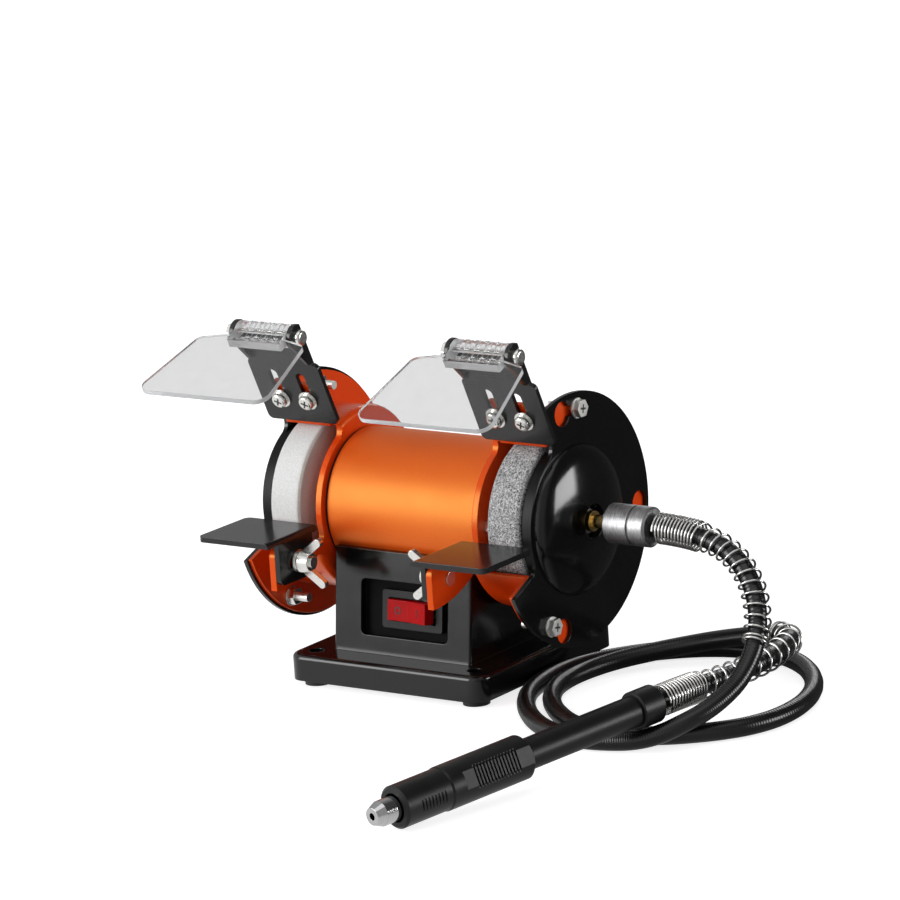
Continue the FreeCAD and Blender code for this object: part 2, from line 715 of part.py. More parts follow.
def switch_rocker():
    half = ROCKER_HEIGHT / 2
    points = [p + V(0, -half, 0) for p in rocker_profile()]
    body = polygon_face(points).extrude(V(0, ROCKER_HEIGHT, 0))
    stem = rocker_axle(ROCKER_STEM_DIAMETER, half)
    pins = rocker_axle(ROCKER_PIN_DIAMETER, half + ROCKER_TOP_GAP + ROCKER_PIN_REACH)
    rocker = joined(body, stem, pins)
    rocker.rotate(V(0, 0, -ROCKER_PIVOT_DEPTH), EY, ROCKER_REST_TILT)
    return only_solid(placed(rocker, face_matrix(SWITCH_X, SWITCH_Z, True)))


# Motor

def motor_housing():
    return ring(-MOTOR_HALF_LENGTH, MOTOR_HALF_LENGTH, MOTOR_DIAMETER, 2 * MOTOR_BORE)


def housing_gaskets():
    right = ring(MOTOR_HALF_LENGTH, WALL_X, MOTOR_DIAMETER - 2 * GASKET_INSET, 2 * MOTOR_BORE)
    return Part.makeCompound([mirrored(right), right])


def through_bolt_angles():
    return (0.0, 180.0)


def stator_core():
    half = STATOR_HALF_LENGTH
    ring_in = STATOR_RADIUS - STATOR_RING
    core = ring(-half, half, 2 * STATOR_RADIUS, 2 * ring_in)
    shoe = ARMATURE_RADIUS + AIR_GAP
    for middle in (0.0, 180.0):
        start = middle - POLE_SPAN / 2
        core = core.fuse(sector(-half, half, ring_in + 0.5, shoe, start, start + POLE_SPAN))
    for angle in through_bolt_angles():
        y, z = at_angle(THROUGH_BOLT_RADIUS, angle)
        core = core.cut(rod(-half, half, THROUGH_BOLT_DIAMETER + 2 * BOLT_HOLE_CLEARANCE, y, z))
    return only_solid(core.removeSplitter())


def field_coils():
    half = STATOR_HALF_LENGTH
    outer = STATOR_RADIUS - STATOR_RING - COIL_CLEARANCE
    inner = ARMATURE_RADIUS + AIR_GAP + COIL_CLEARANCE
    gap = math.degrees(COIL_CLEARANCE / inner)
    start = POLE_SPAN / 2 + gap
    coils = []
    for middle in (0.0, 180.0):
        sides = [sector(-half - COIL_END_LENGTH, half + COIL_END_LENGTH, outer, inner, middle + a, middle + b)
                 for a, b in ((start, 90 - gap), (-90 + gap, -start))]
        ends = [sector(x0, x0 + COIL_END_LENGTH - COIL_CLEARANCE, outer, inner,
                       middle - 90 + gap, middle + 90 - gap)
                for x0 in (-half - COIL_END_LENGTH, half + COIL_CLEARANCE)]
        coils.append(only_solid(joined(sides[0], sides[1], *ends)))
    return Part.makeCompound(coils)


def commutator_x():
    return STATOR_HALF_LENGTH + WINDING_LENGTH + 1.0


def brush_x():
    return commutator_x() + COMMUTATOR_LENGTH / 2


def brush_block(side, r0, r1):
    half = side / 2
    return block(brush_x() - half, brush_x() + half, -half, half, AXIS_HEIGHT + r0, AXIS_HEIGHT + r1)


def both_ways_up(shape):
    other = shape.copy()
    other.rotate(CENTRE, EX, 180)
    return Part.makeCompound([shape, other])


def carbon_brushes():
    start = COMMUTATOR_DIAMETER / 2 + BRUSH_GAP
    return both_ways_up(brush_block(BRUSH_WIDTH, start, start + BRUSH_LENGTH))


def brush_holders():
    start = COMMUTATOR_DIAMETER / 2 + 2.0
    outer = BRUSH_WIDTH + 2 * BRUSH_HOLDER_WALL
    holder = brush_block(outer, start, MOTOR_BORE + 1)
    holder = holder.cut(brush_block(BRUSH_WIDTH + 2 * BRUSH_FIT, start, start + BRUSH_LENGTH))
    holder = holder.common(rod(0, MOTOR_HALF_LENGTH, 2 * MOTOR_BORE - 2 * STATOR_FIT))
    return both_ways_up(only_solid(holder))


def bearing(sign):
    shape = ring(BEARING_X, BEARING_X + BEARING_WIDTH, BEARING_DIAMETER,
                 SPINDLE_DIAMETER + 2 * RUNNING_FIT)
    return shape if sign > 0 else mirrored(shape)


def through_bolts():
    bolts = []
    for angle in through_bolt_angles():
        y, z = at_angle(THROUGH_BOLT_RADIUS, angle)
        shank = rod(-WALL_OUT_X - 1, WALL_OUT_X + 1, THROUGH_BOLT_DIAMETER, y, z)
        head = rod(-WALL_OUT_X - THROUGH_BOLT_HEAD_HEIGHT, -WALL_OUT_X, THROUGH_BOLT_HEAD, y, z)
        nut = hexagon(WALL_OUT_X, WALL_OUT_X + THROUGH_BOLT_HEAD_HEIGHT, THROUGH_BOLT_HEAD, y, z)
        bolts.append(only_solid(joined(shank, head, nut)))
    return Part.makeCompound(bolts)


# Spindle and what turns with it

def spindle_shaft():
    core = SPINDLE_CORE_DIAMETER / 2
    end = SPINDLE_END
    return turned([(-end, 0), (-end, SPINDLE_RADIUS), (-SPINDLE_CORE_HALF, SPINDLE_RADIUS),
                   (-SPINDLE_CORE_HALF, core), (SPINDLE_CORE_HALF, core),
                   (SPINDLE_CORE_HALF, SPINDLE_RADIUS), (end, SPINDLE_RADIUS), (end, 0)])


def armature_core():
    half = STATOR_HALF_LENGTH
    core = ring(-half, half, ARMATURE_DIAMETER, SPINDLE_CORE_DIAMETER + 2 * SEAT_FIT)
    slot = block(-half, half, -ARMATURE_SLOT_WIDTH / 2, ARMATURE_SLOT_WIDTH / 2,
                 AXIS_HEIGHT + ARMATURE_RADIUS - ARMATURE_SLOT_DEPTH, AXIS_HEIGHT + ARMATURE_RADIUS + 1)
    for k in range(ARMATURE_SLOTS):
        cutter = slot.copy()
        cutter.rotate(CENTRE, EX, 360.0 * k / ARMATURE_SLOTS)
        core = core.cut(cutter)
    return only_solid(core)


def armature_windings():
    half = STATOR_HALF_LENGTH
    right = ring(half, half + WINDING_LENGTH, WINDING_DIAMETER, SPINDLE_CORE_DIAMETER + 2 * SEAT_FIT)
    rim = [e for e in right.Edges if e.Length > math.pi * WINDING_DIAMETER * 0.95]
    outer = [e for e in rim if e.CenterOfMass.x > half + WINDING_LENGTH / 2]
    right = right.makeFillet(WINDING_LENGTH / 2, outer)
    return Part.makeCompound([mirrored(right), right])


def commutator():
    x0 = commutator_x()
    return ring(x0, x0 + COMMUTATOR_LENGTH, COMMUTATOR_DIAMETER, SPINDLE_CORE_DIAMETER + 2 * SEAT_FIT)


def cooling_fan():
    x1 = -commutator_x()
    x0 = x1 - FAN_WIDTH
    hub = ring(x0, x1, FAN_HUB_DIAMETER, SPINDLE_CORE_DIAMETER + 2 * SEAT_FIT)
    half = FAN_BLADE_THICKNESS / 2
    root = FAN_HUB_DIAMETER / 2 - 0.5
    blade = block(x0, x1, -half, half, AXIS_HEIGHT + root, AXIS_HEIGHT + FAN_DIAMETER / 2)
    plate = ring(x1 - FAN_BLADE_THICKNESS, x1, FAN_DIAMETER, FAN_HUB_DIAMETER - 1)
    blades = []
    for k in range(FAN_BLADES):
        copy = blade.copy()
        copy.rotate(CENTRE, EX, 360.0 * k / FAN_BLADES)
        blades.append(copy)
    return only_solid(joined(hub, plate, *blades))


def hub_flange(face_x, back_x):
    """Dished clamping flange: only its rim bears on the wheel at face_x."""
    away = 1.0 if back_x > face_x else -1.0
    hole = SPINDLE_RADIUS + SEAT_FIT
    rim = HUB_FLANGE_DIAMETER / 2
    relief = face_x + away * HUB_FLANGE_RELIEF
    return turned([(relief, hole), (back_x, hole), (back_x, rim * 0.6), (face_x + away * 1.5, rim),
                   (face_x, rim), (face_x, rim * 0.7), (relief, rim * 0.7)])


def wheel_flanges():
    right = [hub_flange(WHEEL_X, WHEEL_X - HUB_FLANGE_THICKNESS), hub_flange(WHEEL_OUT_X, NUT_X)]
    return Part.makeCompound([mirrored(s) for s in right] + right)


def wheel():
    hole = SPINDLE_RADIUS + SEAT_FIT
    rim = WHEEL_DIAMETER / 2
    return turned([(WHEEL_X, hole), (WHEEL_OUT_X, hole), (WHEEL_OUT_X, rim - WHEEL_EDGE),
                   (WHEEL_OUT_X - WHEEL_EDGE, rim), (WHEEL_X + WHEEL_EDGE, rim), (WHEEL_X, rim - WHEEL_EDGE)])


def wheel_nuts():
    nut = hexagon(NUT_X, NUT_X + NUT_HEIGHT, NUT_ACROSS_FLATS).cut(
        rod(NUT_X, NUT_X + NUT_HEIGHT, SPINDLE_DIAMETER + 2 * SEAT_FIT))
    return Part.makeCompound([mirrored(nut), nut])


def drive_coupling():
    """Brass stub screwed to the spindle's end, running in the sleeve's bush."""
    thread = SPINDLE_END
    stub = COUPLING_DIAMETER / 2
    head = COUPLING_NUT_DIAMETER / 2
    bush_end = SLEEVE_START + SLEEVE_CHAMFER + BUSH_LENGTH
    return turned([(thread, 0), (thread, head), (thread + COUPLING_NUT_LENGTH - 1, head),
                   (thread + COUPLING_NUT_LENGTH - 1, stub), (bush_end + 1, stub), (bush_end + 1, 0)])


# Guards and covers

def guard_turning():
    boss = BEARING_DIAMETER / 2 + GUARD_BOSS_WALL
    seat = BEARING_DIAMETER / 2 + SEAT_FIT
    seat_end = BEARING_X + BEARING_WIDTH
    lip = SPINDLE_RADIUS + SPINDLE_HOLE_CLEARANCE
    spigot_out = MOTOR_BORE - STATOR_FIT
    spigot_in = spigot_out - GUARD_SPIGOT_WALL
    flange = FLANGE_RADIUS
    back = FLANGE_X - GUARD_FLANGE_THICKNESS
    return turned([(BEARING_X, seat), (BEARING_X, boss), (WALL_X, boss), (WALL_X, spigot_in),
                   (WALL_X - GUARD_SPIGOT_LENGTH, spigot_in), (WALL_X - GUARD_SPIGOT_LENGTH, spigot_out),
                   (WALL_X, spigot_out), (WALL_X, DRUM_RADIUS), (back, DRUM_RADIUS), (back, flange),
                   (FLANGE_X, flange), (FLANGE_X, DRUM_BORE), (WALL_OUT_X, DRUM_BORE), (WALL_OUT_X, lip),
                   (seat_end, lip), (seat_end, seat)])


def opening_bottom(sign):
    return OPENING_BOTTOM_RIGHT if sign > 0 else OPENING_BOTTOM_LEFT


def front_opening(sign, inner):
    """Cutter for the open front, its inner corners rounded."""
    reach = 2 * COVER_RADIUS
    cutter = sector(WALL_X - 1, DOME_TOP_X + 1, reach, inner, OPENING_TOP, opening_bottom(sign))
    corners = []
    for edge in cutter.Edges:
        along_x = abs(edge.tangentAt(edge.FirstParameter).x) > 0.9
        middle = edge.CenterOfMass
        radius = math.hypot(middle.y, middle.z - AXIS_HEIGHT)
        if along_x and abs(radius - inner) < 0.1:
            corners.append(edge)
    return cutter.makeFillet(OPENING_ROUND, corners)


def rest_tab():
    """Flat tab in the wall's plane that carries the tool rest, hollowed along its lower edge."""
    root_y = -GUARD_RIM_RADIUS + 6
    start = V(WALL_X, REST_TAB_FRONT + REST_TAB_HOLLOW_START, REST_TAB_BOTTOM)
    end = V(WALL_X, REST_TAB_FRONT + REST_TAB_HOLLOW_END, REST_TAB_BOTTOM + REST_TAB_HOLLOW_RISE)
    chord = end - start
    middle = (start + end) * 0.5 + EX.cross(chord).normalize() * -REST_TAB_HOLLOW_SAG
    outline = [end, V(WALL_X, root_y, end.z - 1.4), V(WALL_X, root_y, REST_TAB_TOP - 5),
               V(WALL_X, REST_TAB_FRONT, REST_TAB_TOP), V(WALL_X, REST_TAB_FRONT, REST_TAB_BOTTOM), start]
    hollow = Part.Arc(start, middle, end).toShape()
    face = Part.Face(Part.Wire(Part.makePolygon(outline).Edges + [hollow]))
    tab = face.extrude(V(GUARD_WALL, 0, 0))
    front = [e for e in tab.Edges if abs(e.CenterOfMass.y - REST_TAB_FRONT) < 1e-6
             and abs(e.Length - GUARD_WALL) < 1e-6 and e.CenterOfMass.z > REST_BOLT_Z]
    return tab.makeFillet(REST_TAB_CORNER, front)


def bracket_matrix(centre_x):
    """Local X across, local Y up the plate (s), local Z out of its front face (n)."""
    lean = math.radians(BRACKET_LEAN)
    up = V(0, -math.sin(lean), math.cos(lean))
    out = EX.cross(up)
    return FreeCAD.Matrix(1, up.x, out.x, centre_x, 0, up.y, out.y, BRACKET_Y,
                          0, up.z, out.z, BRACKET_Z, 0, 0, 0, 1)


def bracket_tab():
    """Guard's tab behind the bracket, in the bracket's frame."""
    half = BRACKET_TAB_WIDTH / 2
    front = -BRACKET_SHEET - BRACKET_SLIDE_GAP
    tab = block(-half, half, BRACKET_TAB_ROOT, BRACKET_TAB_TOP, front - BRACKET_TAB_SHEET, front)
    top = [e for e in tab.Edges if abs(e.CenterOfMass.y - BRACKET_TAB_TOP) < 1e-6
           and abs(abs(e.CenterOfMass.x) - half) < 1e-6]
    return tab.makeFillet(BRACKET_CORNER, top)


def bracket_screw_xs():
    half = BRACKET_SCREW_SPACING / 2
    return (-half, half)


def guard(sign):
    body = guard_turning()
    rim = [e for e in body.Edges if abs(e.CenterOfMass.x - WALL_X) < 1e-6
           and abs(e.Length - 2 * math.pi * DRUM_RADIUS) < 1e-3]
    body = body.makeFillet(GUARD_CORNER, rim)
    body = body.cut(front_opening(sign, GUARD_RIM_RADIUS))
    body = body.fuse(rest_tab())
    matrix = bracket_matrix(BRACKET_X)
    body = body.fuse(placed(bracket_tab(), matrix))
    inside = rod(WALL_OUT_X, FLANGE_X, 2 * DRUM_BORE)
    body = body.cut(inside)
    for x in bracket_screw_xs():
        hole = Part.makeCylinder(SCREW_DIAMETER / 2 + SEAT_FIT, 4 * BRACKET_SHEET,
                                 V(x, BRACKET_SCREW_S, -4 * BRACKET_SHEET), EZ)
        body = body.cut(placed(hole, matrix))
    body = body.cut(rod(WALL_X, WALL_OUT_X, REST_BOLT_DIAMETER + 2 * SEAT_FIT, REST_BOLT_Y, REST_BOLT_Z))
    for angle in COVER_BOLT_ANGLES:
        y, z = at_angle(COVER_BOLT_RADIUS, angle)
        body = body.cut(rod(WALL_X, COVER_X, COVER_BOLT_DIAMETER + 2 * SEAT_FIT, y, z))
    for angle in through_bolt_angles():
        y, z = at_angle(THROUGH_BOLT_RADIUS, angle)
        hole = THROUGH_BOLT_DIAMETER + 2 * BOLT_HOLE_CLEARANCE
        body = body.cut(rod(WALL_X - GUARD_SPIGOT_LENGTH, WALL_OUT_X, hole, y, z))
    body = only_solid(body.removeSplitter())
    return body if sign > 0 else mirrored(body)


def dome_arc(face_x, base_radius, end_radius):
    """Edge of the dome's section, from its base to the hole or flat in its middle."""
    base = V(face_x, 0, AXIS_HEIGHT)
    ellipse = Part.Ellipse(base + EZ * base_radius, base + EX * DOME_HEIGHT, base)
    return Part.ArcOfEllipse(ellipse, 0, math.acos(end_radius / base_radius)).toShape()


def cover_turning(open_centre):
    """Pressed disc with a drawn dome, as a sheet of even thickness."""
    middle_diameter = DOME_HOLE_DIAMETER if open_centre else DOME_FLAT_DIAMETER
    outer = dome_arc(COVER_X, DOME_RADIUS, middle_diameter / 2)
    inner = dome_arc(FLANGE_X, DOME_RADIUS - COVER_THICKNESS, middle_diameter / 2)
    outer_base, outer_top = outer.Vertexes[0].Point, outer.Vertexes[1].Point
    inner_base, inner_top = inner.Vertexes[0].Point, inner.Vertexes[1].Point
    rim = [V(x, 0, AXIS_HEIGHT + COVER_RADIUS) for x in (FLANGE_X, COVER_X)]
    disc = Part.makePolygon([inner_base] + rim + [outer_base])
    on_axis = [] if open_centre else [V(p.x, 0, AXIS_HEIGHT) for p in (outer_top, inner_top)]
    middle = Part.makePolygon([outer_top] + on_axis + [inner_top])
    section = Part.Wire(disc.Edges + [outer] + middle.Edges + [inner])
    return Part.Face(section).revolve(CENTRE, EX, 360)


def cover_lip(sign):
    """Edge of the opening, turned inward beside the wheel."""
    inner = COVER_OPENING_RADIUS - COVER_THICKNESS
    return sector(WHEEL_OUT_X + COVER_LIP_GAP, COVER_X, COVER_OPENING_RADIUS, inner,
                  OPENING_TOP, opening_bottom(sign))


def keyhole(angle):
    y, z = at_angle(COVER_BOLT_RADIUS, angle)
    hole_y, hole_z = at_angle(COVER_BOLT_RADIUS, angle + KEYHOLE_TURN)
    x0 = FLANGE_X - 1
    x1 = COVER_X + 1
    width = COVER_BOLT_DIAMETER + 2 * BOLT_HOLE_CLEARANCE
    big = rod(x0, x1, KEYHOLE_DIAMETER, hole_y, hole_z)
    small = rod(x0, x1, width, y, z)
    run = V(0, hole_y - y, hole_z - z)
    side = EX.cross(run).normalize() * (width / 2)
    start = V(x0, y, z)
    slot = polygon_face([start - side, start - side + run, start + side + run, start + side])
    return big.fuse([small, slot.extrude(V(x1 - x0, 0, 0))])


def cover(sign):
    shape = cover_turning(sign > 0)
    shape = shape.cut(front_opening(sign, COVER_OPENING_RADIUS)).fuse(cover_lip(sign))
    for angle in COVER_BOLT_ANGLES:
        shape = shape.cut(keyhole(angle))
    shape = only_solid(shape.removeSplitter())
    return shape if sign > 0 else mirrored(shape)


def cover_bolts():
    bolts = []
    for angle in COVER_BOLT_ANGLES:
        y, z = at_angle(COVER_BOLT_RADIUS, angle)
        washer_out = COVER_X + COVER_WASHER_THICKNESS
        shank = rod(COVER_X - COVER_BOLT_LENGTH, washer_out, COVER_BOLT_DIAMETER, y, z)
        washer = rod(COVER_X, washer_out, COVER_WASHER_DIAMETER, y, z)
        head = hexagon(washer_out, washer_out + COVER_BOLT_HEAD, COVER_BOLT_FLATS, y, z)
        bolts.append(only_solid(joined(shank, washer, head)))
    return Part.makeCompound([mirrored(b) for b in bolts] + bolts)


def cover_nuts():
    nuts = []
    for angle in COVER_BOLT_ANGLES:
        y, z = at_angle(COVER_BOLT_RADIUS, angle)
        x1 = FLANGE_X - GUARD_FLANGE_THICKNESS
        washer = rod(x1 - COVER_WASHER_THICKNESS, x1, COVER_WASHER_DIAMETER, y, z)
        nut = hexagon(x1 - COVER_WASHER_THICKNESS - COVER_NUT_HEIGHT, x1 - COVER_WASHER_THICKNESS,
                      COVER_BOLT_FLATS, y, z)
        hole = rod(0, COVER_X, COVER_BOLT_DIAMETER + 2 * SEAT_FIT, y, z)
        nuts.append(only_solid(joined(washer, nut).cut(hole)))
    return Part.makeCompound([mirrored(n) for n in nuts] + nuts)


# Tool rests

def rest_plate():
    bottom = REST_TOP - REST_SHEET
    plate = block(LEG_X - REST_SHEET, REST_OUTER, REST_FRONT, REST_BACK, bottom, REST_TOP)
    outer = [e for e in plate.Edges if abs(e.CenterOfMass.x - REST_OUTER) < 1e-6
             and abs(e.tangentAt(e.FirstParameter).z) > 0.9]
    return plate.makeFillet(REST_CORNER, outer)


def rest_slot():
    half = REST_BOLT_DIAMETER / 2 + BOLT_HOLE_CLEARANCE
    front = REST_BOLT_Y - REST_TRAVEL_IN
    back = REST_BOLT_Y + REST_TRAVEL_OUT
    x0 = LEG_X - REST_SHEET - 1
    x1 = LEG_X + 1
    ends = [rod(x0, x1, 2 * half, y, REST_BOLT_Z) for y in (front, back)]
    return ends[0].fuse([ends[1], block(x0, x1, front, back, REST_BOLT_Z - half, REST_BOLT_Z + half)])


def tool_rest(sign):
    leg = block(LEG_X - REST_SHEET, LEG_X, REST_LEG_FRONT, REST_LEG_BACK, REST_LEG_BOTTOM, REST_TOP)
    low = [e for e in leg.Edges if abs(e.CenterOfMass.z - REST_LEG_BOTTOM) < 1e-6
           and abs(e.tangentAt(e.FirstParameter).x) > 0.9]
    leg = leg.makeFillet(REST_CORNER, low)
    body = joined(rest_plate(), leg)
    bend = [e for e in body.Edges if abs(e.CenterOfMass.x - LEG_X + REST_SHEET) < 1e-6
            and abs(e.CenterOfMass.z - REST_TOP) < 1e-6]
    body = body.makeFillet(REST_BEND * 0.8, bend).cut(rest_slot())
    body = only_solid(body)
    return body if sign > 0 else mirrored(body)


def stack_x():
    """Faces of the clamping stack, from the leg towards the middle."""
    washer = LEG_X - REST_SHEET - WASHER_PLAY
    lock = washer - WASHER_THICKNESS
    nut = lock - LOCK_WASHER_THICKNESS
    return washer, lock, nut


def rest_bolts():
    head_x = WALL_OUT_X
    head = rod(head_x, head_x + REST_BOLT_HEAD_HEIGHT, REST_BOLT_HEAD, REST_BOLT_Y, REST_BOLT_Z)
    end = stack_x()[2] - WING_HUB_LENGTH - REST_BOLT_OVER_NUT
    shank = rod(end, head_x + REST_BOLT_HEAD_HEIGHT, REST_BOLT_DIAMETER, REST_BOLT_Y, REST_BOLT_Z)
    bolt = only_solid(joined(head, shank))
    return Part.makeCompound([mirrored(bolt), bolt])


def rest_washers():
    washer, lock, nut = stack_x()
    hole = REST_BOLT_DIAMETER + 2 * SEAT_FIT
    flat = ring(lock, washer, WASHER_DIAMETER, hole, REST_BOLT_Y, REST_BOLT_Z)
    split = ring(nut, lock, LOCK_WASHER_DIAMETER, hole, REST_BOLT_Y, REST_BOLT_Z)
    return Part.makeCompound([mirrored(flat), flat, mirrored(split), split])


def wing(nut_x, way):
    """One wing, a flat bar that leans out from the hub and ends round."""
    root = V(nut_x - WING_HUB_LENGTH / 2, 0, way * WING_HUB_TOP_DIAMETER / 2)
    tip = V(nut_x - WING_HUB_LENGTH - WING_TIP_RISE, 0, way * WING_TIP_RADIUS)
    side = EY.cross(tip - root).normalize() * (WING_WIDTH / 2)
    back = V(0, -WING_THICKNESS / 2, 0)
    bar = polygon_face([p + back for p in (root - side, tip - side, tip + side, root + side)])
    ends = [Part.makeCylinder(WING_WIDTH / 2, WING_THICKNESS, p + back, EY) for p in (root, tip)]
    return bar.extrude(V(0, WING_THICKNESS, 0)).fuse(ends)


def wing_nut(sign):
    base = V(0, REST_BOLT_Y, REST_BOLT_Z)
    nut_x = stack_x()[2] - WASHER_PLAY
    tip_x = nut_x - WING_HUB_LENGTH
    hole = REST_BOLT_DIAMETER + 2 * RUNNING_FIT
    hub = turned([(nut_x, 0), (nut_x, WING_HUB_DIAMETER / 2), (tip_x, WING_HUB_TOP_DIAMETER / 2), (tip_x, 0)],
                 V(0, 0, 0))
    nut = joined(hub, wing(nut_x, -1), wing(nut_x, 1))
    nut.translate(base)
    nut = nut.cut(rod(0, WALL_X, hole, REST_BOLT_Y, REST_BOLT_Z))
    nut.rotate(base, EX, WING_NUT_TURN)
    nut = only_solid(nut)
    return nut if sign > 0 else mirrored(nut)


# Shield brackets and shields: the same piece on both sides, not mirrored

def bracket_plate():
    plate = block(-BRACKET_WIDTH / 2, BRACKET_WIDTH / 2, 0, BRACKET_HEIGHT, -BRACKET_SHEET, 0)
    corners = [e for e in plate.Edges if abs(e.tangentAt(e.FirstParameter).z) > 0.9]
    return plate.makeFillet(BRACKET_CORNER, corners)


def bracket_slot(x):
    half = BRACKET_SLOT_WIDTH / 2
    low = BRACKET_SCREW_S
    high = BRACKET_SCREW_S + BRACKET_SLOT_LENGTH
    depth = BRACKET_SHEET + 2
    start = -BRACKET_SHEET - 1
    ends = [Part.makeCylinder(half, depth, V(x, s, start), EZ) for s in (low, high)]
    return ends[0].fuse([ends[1], block(x - half, x + half, low, high, start, start + depth)])


def bracket_ear(way):
    """Round ear bent forward from one side of the neck, with the hinge bolt's hole."""
    outer = way * BRACKET_NECK_WIDTH / 2
    inner = outer - way * EAR_SHEET
    x0 = min(outer, inner)
    eye = V(x0, HINGE_S, HINGE_N)
    round_end = Part.makeCylinder(EAR_RADIUS, EAR_SHEET, eye, EX)
    root = BRACKET_HEIGHT + 1
    front = HINGE_N + EAR_RADIUS
    web = polygon_face([V(x0, root, -BRACKET_SHEET), V(x0, root, 1.5), V(x0, HINGE_S - 1, front - 0.15),
                        V(x0, HINGE_S, HINGE_N), V(x0, HINGE_S, -BRACKET_SHEET)])
    ear = round_end.fuse(web.extrude(V(EAR_SHEET, 0, 0)))
    behind = block(-BRACKET_WIDTH, BRACKET_WIDTH, 0, 2 * HINGE_S, -BRACKET_SHEET - 20, -BRACKET_SHEET)
    hole = Part.makeCylinder(HINGE_BOLT_DIAMETER / 2 + SEAT_FIT, EAR_SHEET, eye, EX)
    return ear.cut(behind).cut(hole)


def shield_bracket(sign):
    half = BRACKET_NECK_WIDTH / 2
    neck = block(-half, half, BRACKET_HEIGHT - 3, BRACKET_NECK_TOP, -BRACKET_SHEET, 0)
    body = joined(bracket_plate(), neck, bracket_ear(-1), bracket_ear(1))
    for x in bracket_screw_xs():
        body = body.cut(bracket_slot(x))
    return only_solid(placed(body, bracket_matrix(sign * BRACKET_X)))


def bracket_screws():
    screws = []
    back = -BRACKET_SHEET - BRACKET_SLIDE_GAP - BRACKET_TAB_SHEET - SCREW_END
    washer = BRACKET_SLIDE_GAP
    for sign in (-1, 1):
        for x in bracket_screw_xs():
            at = V(x, BRACKET_SCREW_S, 0)
            head_at = washer + SCREW_WASHER_THICKNESS
            shank = Part.makeCylinder(SCREW_DIAMETER / 2, head_at - back, at + V(0, 0, back), EZ)
            disc = Part.makeCylinder(SCREW_WASHER / 2, SCREW_WASHER_THICKNESS, at + V(0, 0, washer), EZ)
            head = Part.makeCylinder(SCREW_HEAD / 2, SCREW_HEAD_HEIGHT, at + V(0, 0, head_at), EZ)
            top = [e for e in head.Edges if abs(e.CenterOfMass.z - head_at - SCREW_HEAD_HEIGHT) < 1e-6]
            head = head.makeFillet(SCREW_HEAD_HEIGHT / 2, top)
            screw = only_solid(joined(shank, disc, head))
            screws.append(placed(screw, bracket_matrix(sign * BRACKET_X)))
    return Part.makeCompound(screws)


def hinge_bolt(sign):
    half = BRACKET_NECK_WIDTH / 2
    eye = V(0, HINGE_S, HINGE_N)
    nut_x = -half - HINGE_NUT_HEIGHT
    shank = Part.makeCylinder(HINGE_BOLT_DIAMETER / 2, half + 1 - nut_x, eye + V(nut_x, 0, 0), EX)
    head = Part.makeCylinder(HINGE_HEAD / 2, HINGE_HEAD_HEIGHT, eye + V(half, 0, 0), EX)
    top = [e for e in head.Edges if abs(e.CenterOfMass.x - half - HINGE_HEAD_HEIGHT) < 1e-6]
    head = head.makeFillet(HINGE_HEAD_HEIGHT / 2, top)
    nut = hexagon(nut_x, -half, HINGE_HEAD, HINGE_S, HINGE_N)
    bolt = only_solid(joined(shank, head, nut))
    return placed(bolt, bracket_matrix(sign * BRACKET_X))


def hinge_point(sign):
    return bracket_matrix(sign * BRACKET_X).multVec(V(0, HINGE_S, HINGE_N))


def shield_matrix(sign):
    """Local X across, local Y forward and down the sheet, local Z up out of its top face."""
    slope = math.radians(SHIELD_SLOPE_RIGHT if sign > 0 else SHIELD_SLOPE_LEFT)
    forward = V(0, -math.cos(slope), -math.sin(slope))
    across = V(-1, 0, 0)
    up = across.cross(forward)
    at = hinge_point(sign)
    return FreeCAD.Matrix(across.x, forward.x, up.x, at.x, across.y, forward.y, up.y, at.y,
                          across.z, forward.z, up.z, at.z, 0, 0, 0, 1)


def barrel_half():
    return BRACKET_NECK_WIDTH / 2 - EAR_SHEET - BARREL_END_GAP


def shield_sheet():
    land = barrel_half() - 1
    shoulder = SHIELD_SHOULDER_WIDTH / 2
    far = SHIELD_WIDTH / 2
    outline = [V(-land, 0, 0), V(land, 0, 0), V(land, SHIELD_SHOULDER - 4, 0),
               V(shoulder, SHIELD_SHOULDER, 0),
               V(far, SHIELD_LENGTH, 0), V(-far, SHIELD_LENGTH, 0), V(-shoulder, SHIELD_SHOULDER, 0),
               V(-land, SHIELD_SHOULDER - 4, 0)]
    sheet = polygon_face(outline).extrude(V(0, 0, SHIELD_SHEET))
    def upright_at(y, x):
        return [e for e in sheet.Edges if abs(e.tangentAt(e.FirstParameter).z) > 0.9
                and abs(e.CenterOfMass.y - y) < 1e-6 and abs(abs(e.CenterOfMass.x) - x) < 1e-6]
    sheet = sheet.makeFillet(SHIELD_CORNER, upright_at(SHIELD_LENGTH, far))
    sheet = sheet.makeFillet(SHIELD_SHOULDER_ROUND, upright_at(SHIELD_SHOULDER, shoulder))
    sheet.translate(V(0, 0, SHIELD_OFFSET))
    return sheet


def eye_shield(sign):
    half = barrel_half()
    barrel = Part.makeCylinder(BARREL_DIAMETER / 2, 2 * half, V(-half, 0, 0), EX)
    pitch = (2 * half - BARREL_RING_WIDTH) / (BARREL_RINGS - 1)
    rings = [Part.makeCylinder(BARREL_RING_DIAMETER / 2, BARREL_RING_WIDTH, V(k * pitch - half, 0, 0), EX)
             for k in range(BARREL_RINGS)]
    land = block(-half, half, SHIELD_LAND_START, SHIELD_LAND_END, -SHIELD_LAND_BELOW,
                 SHIELD_OFFSET + SHIELD_SHEET)
    bore = Part.makeCylinder(HINGE_BOLT_DIAMETER / 2 + HINGE_FIT, 2 * half, V(-half, 0, 0), EX)
    body = joined(shield_sheet(), barrel, land, *rings).cut(bore)
    return only_solid(placed(body, shield_matrix(sign)))


# Flexible shaft

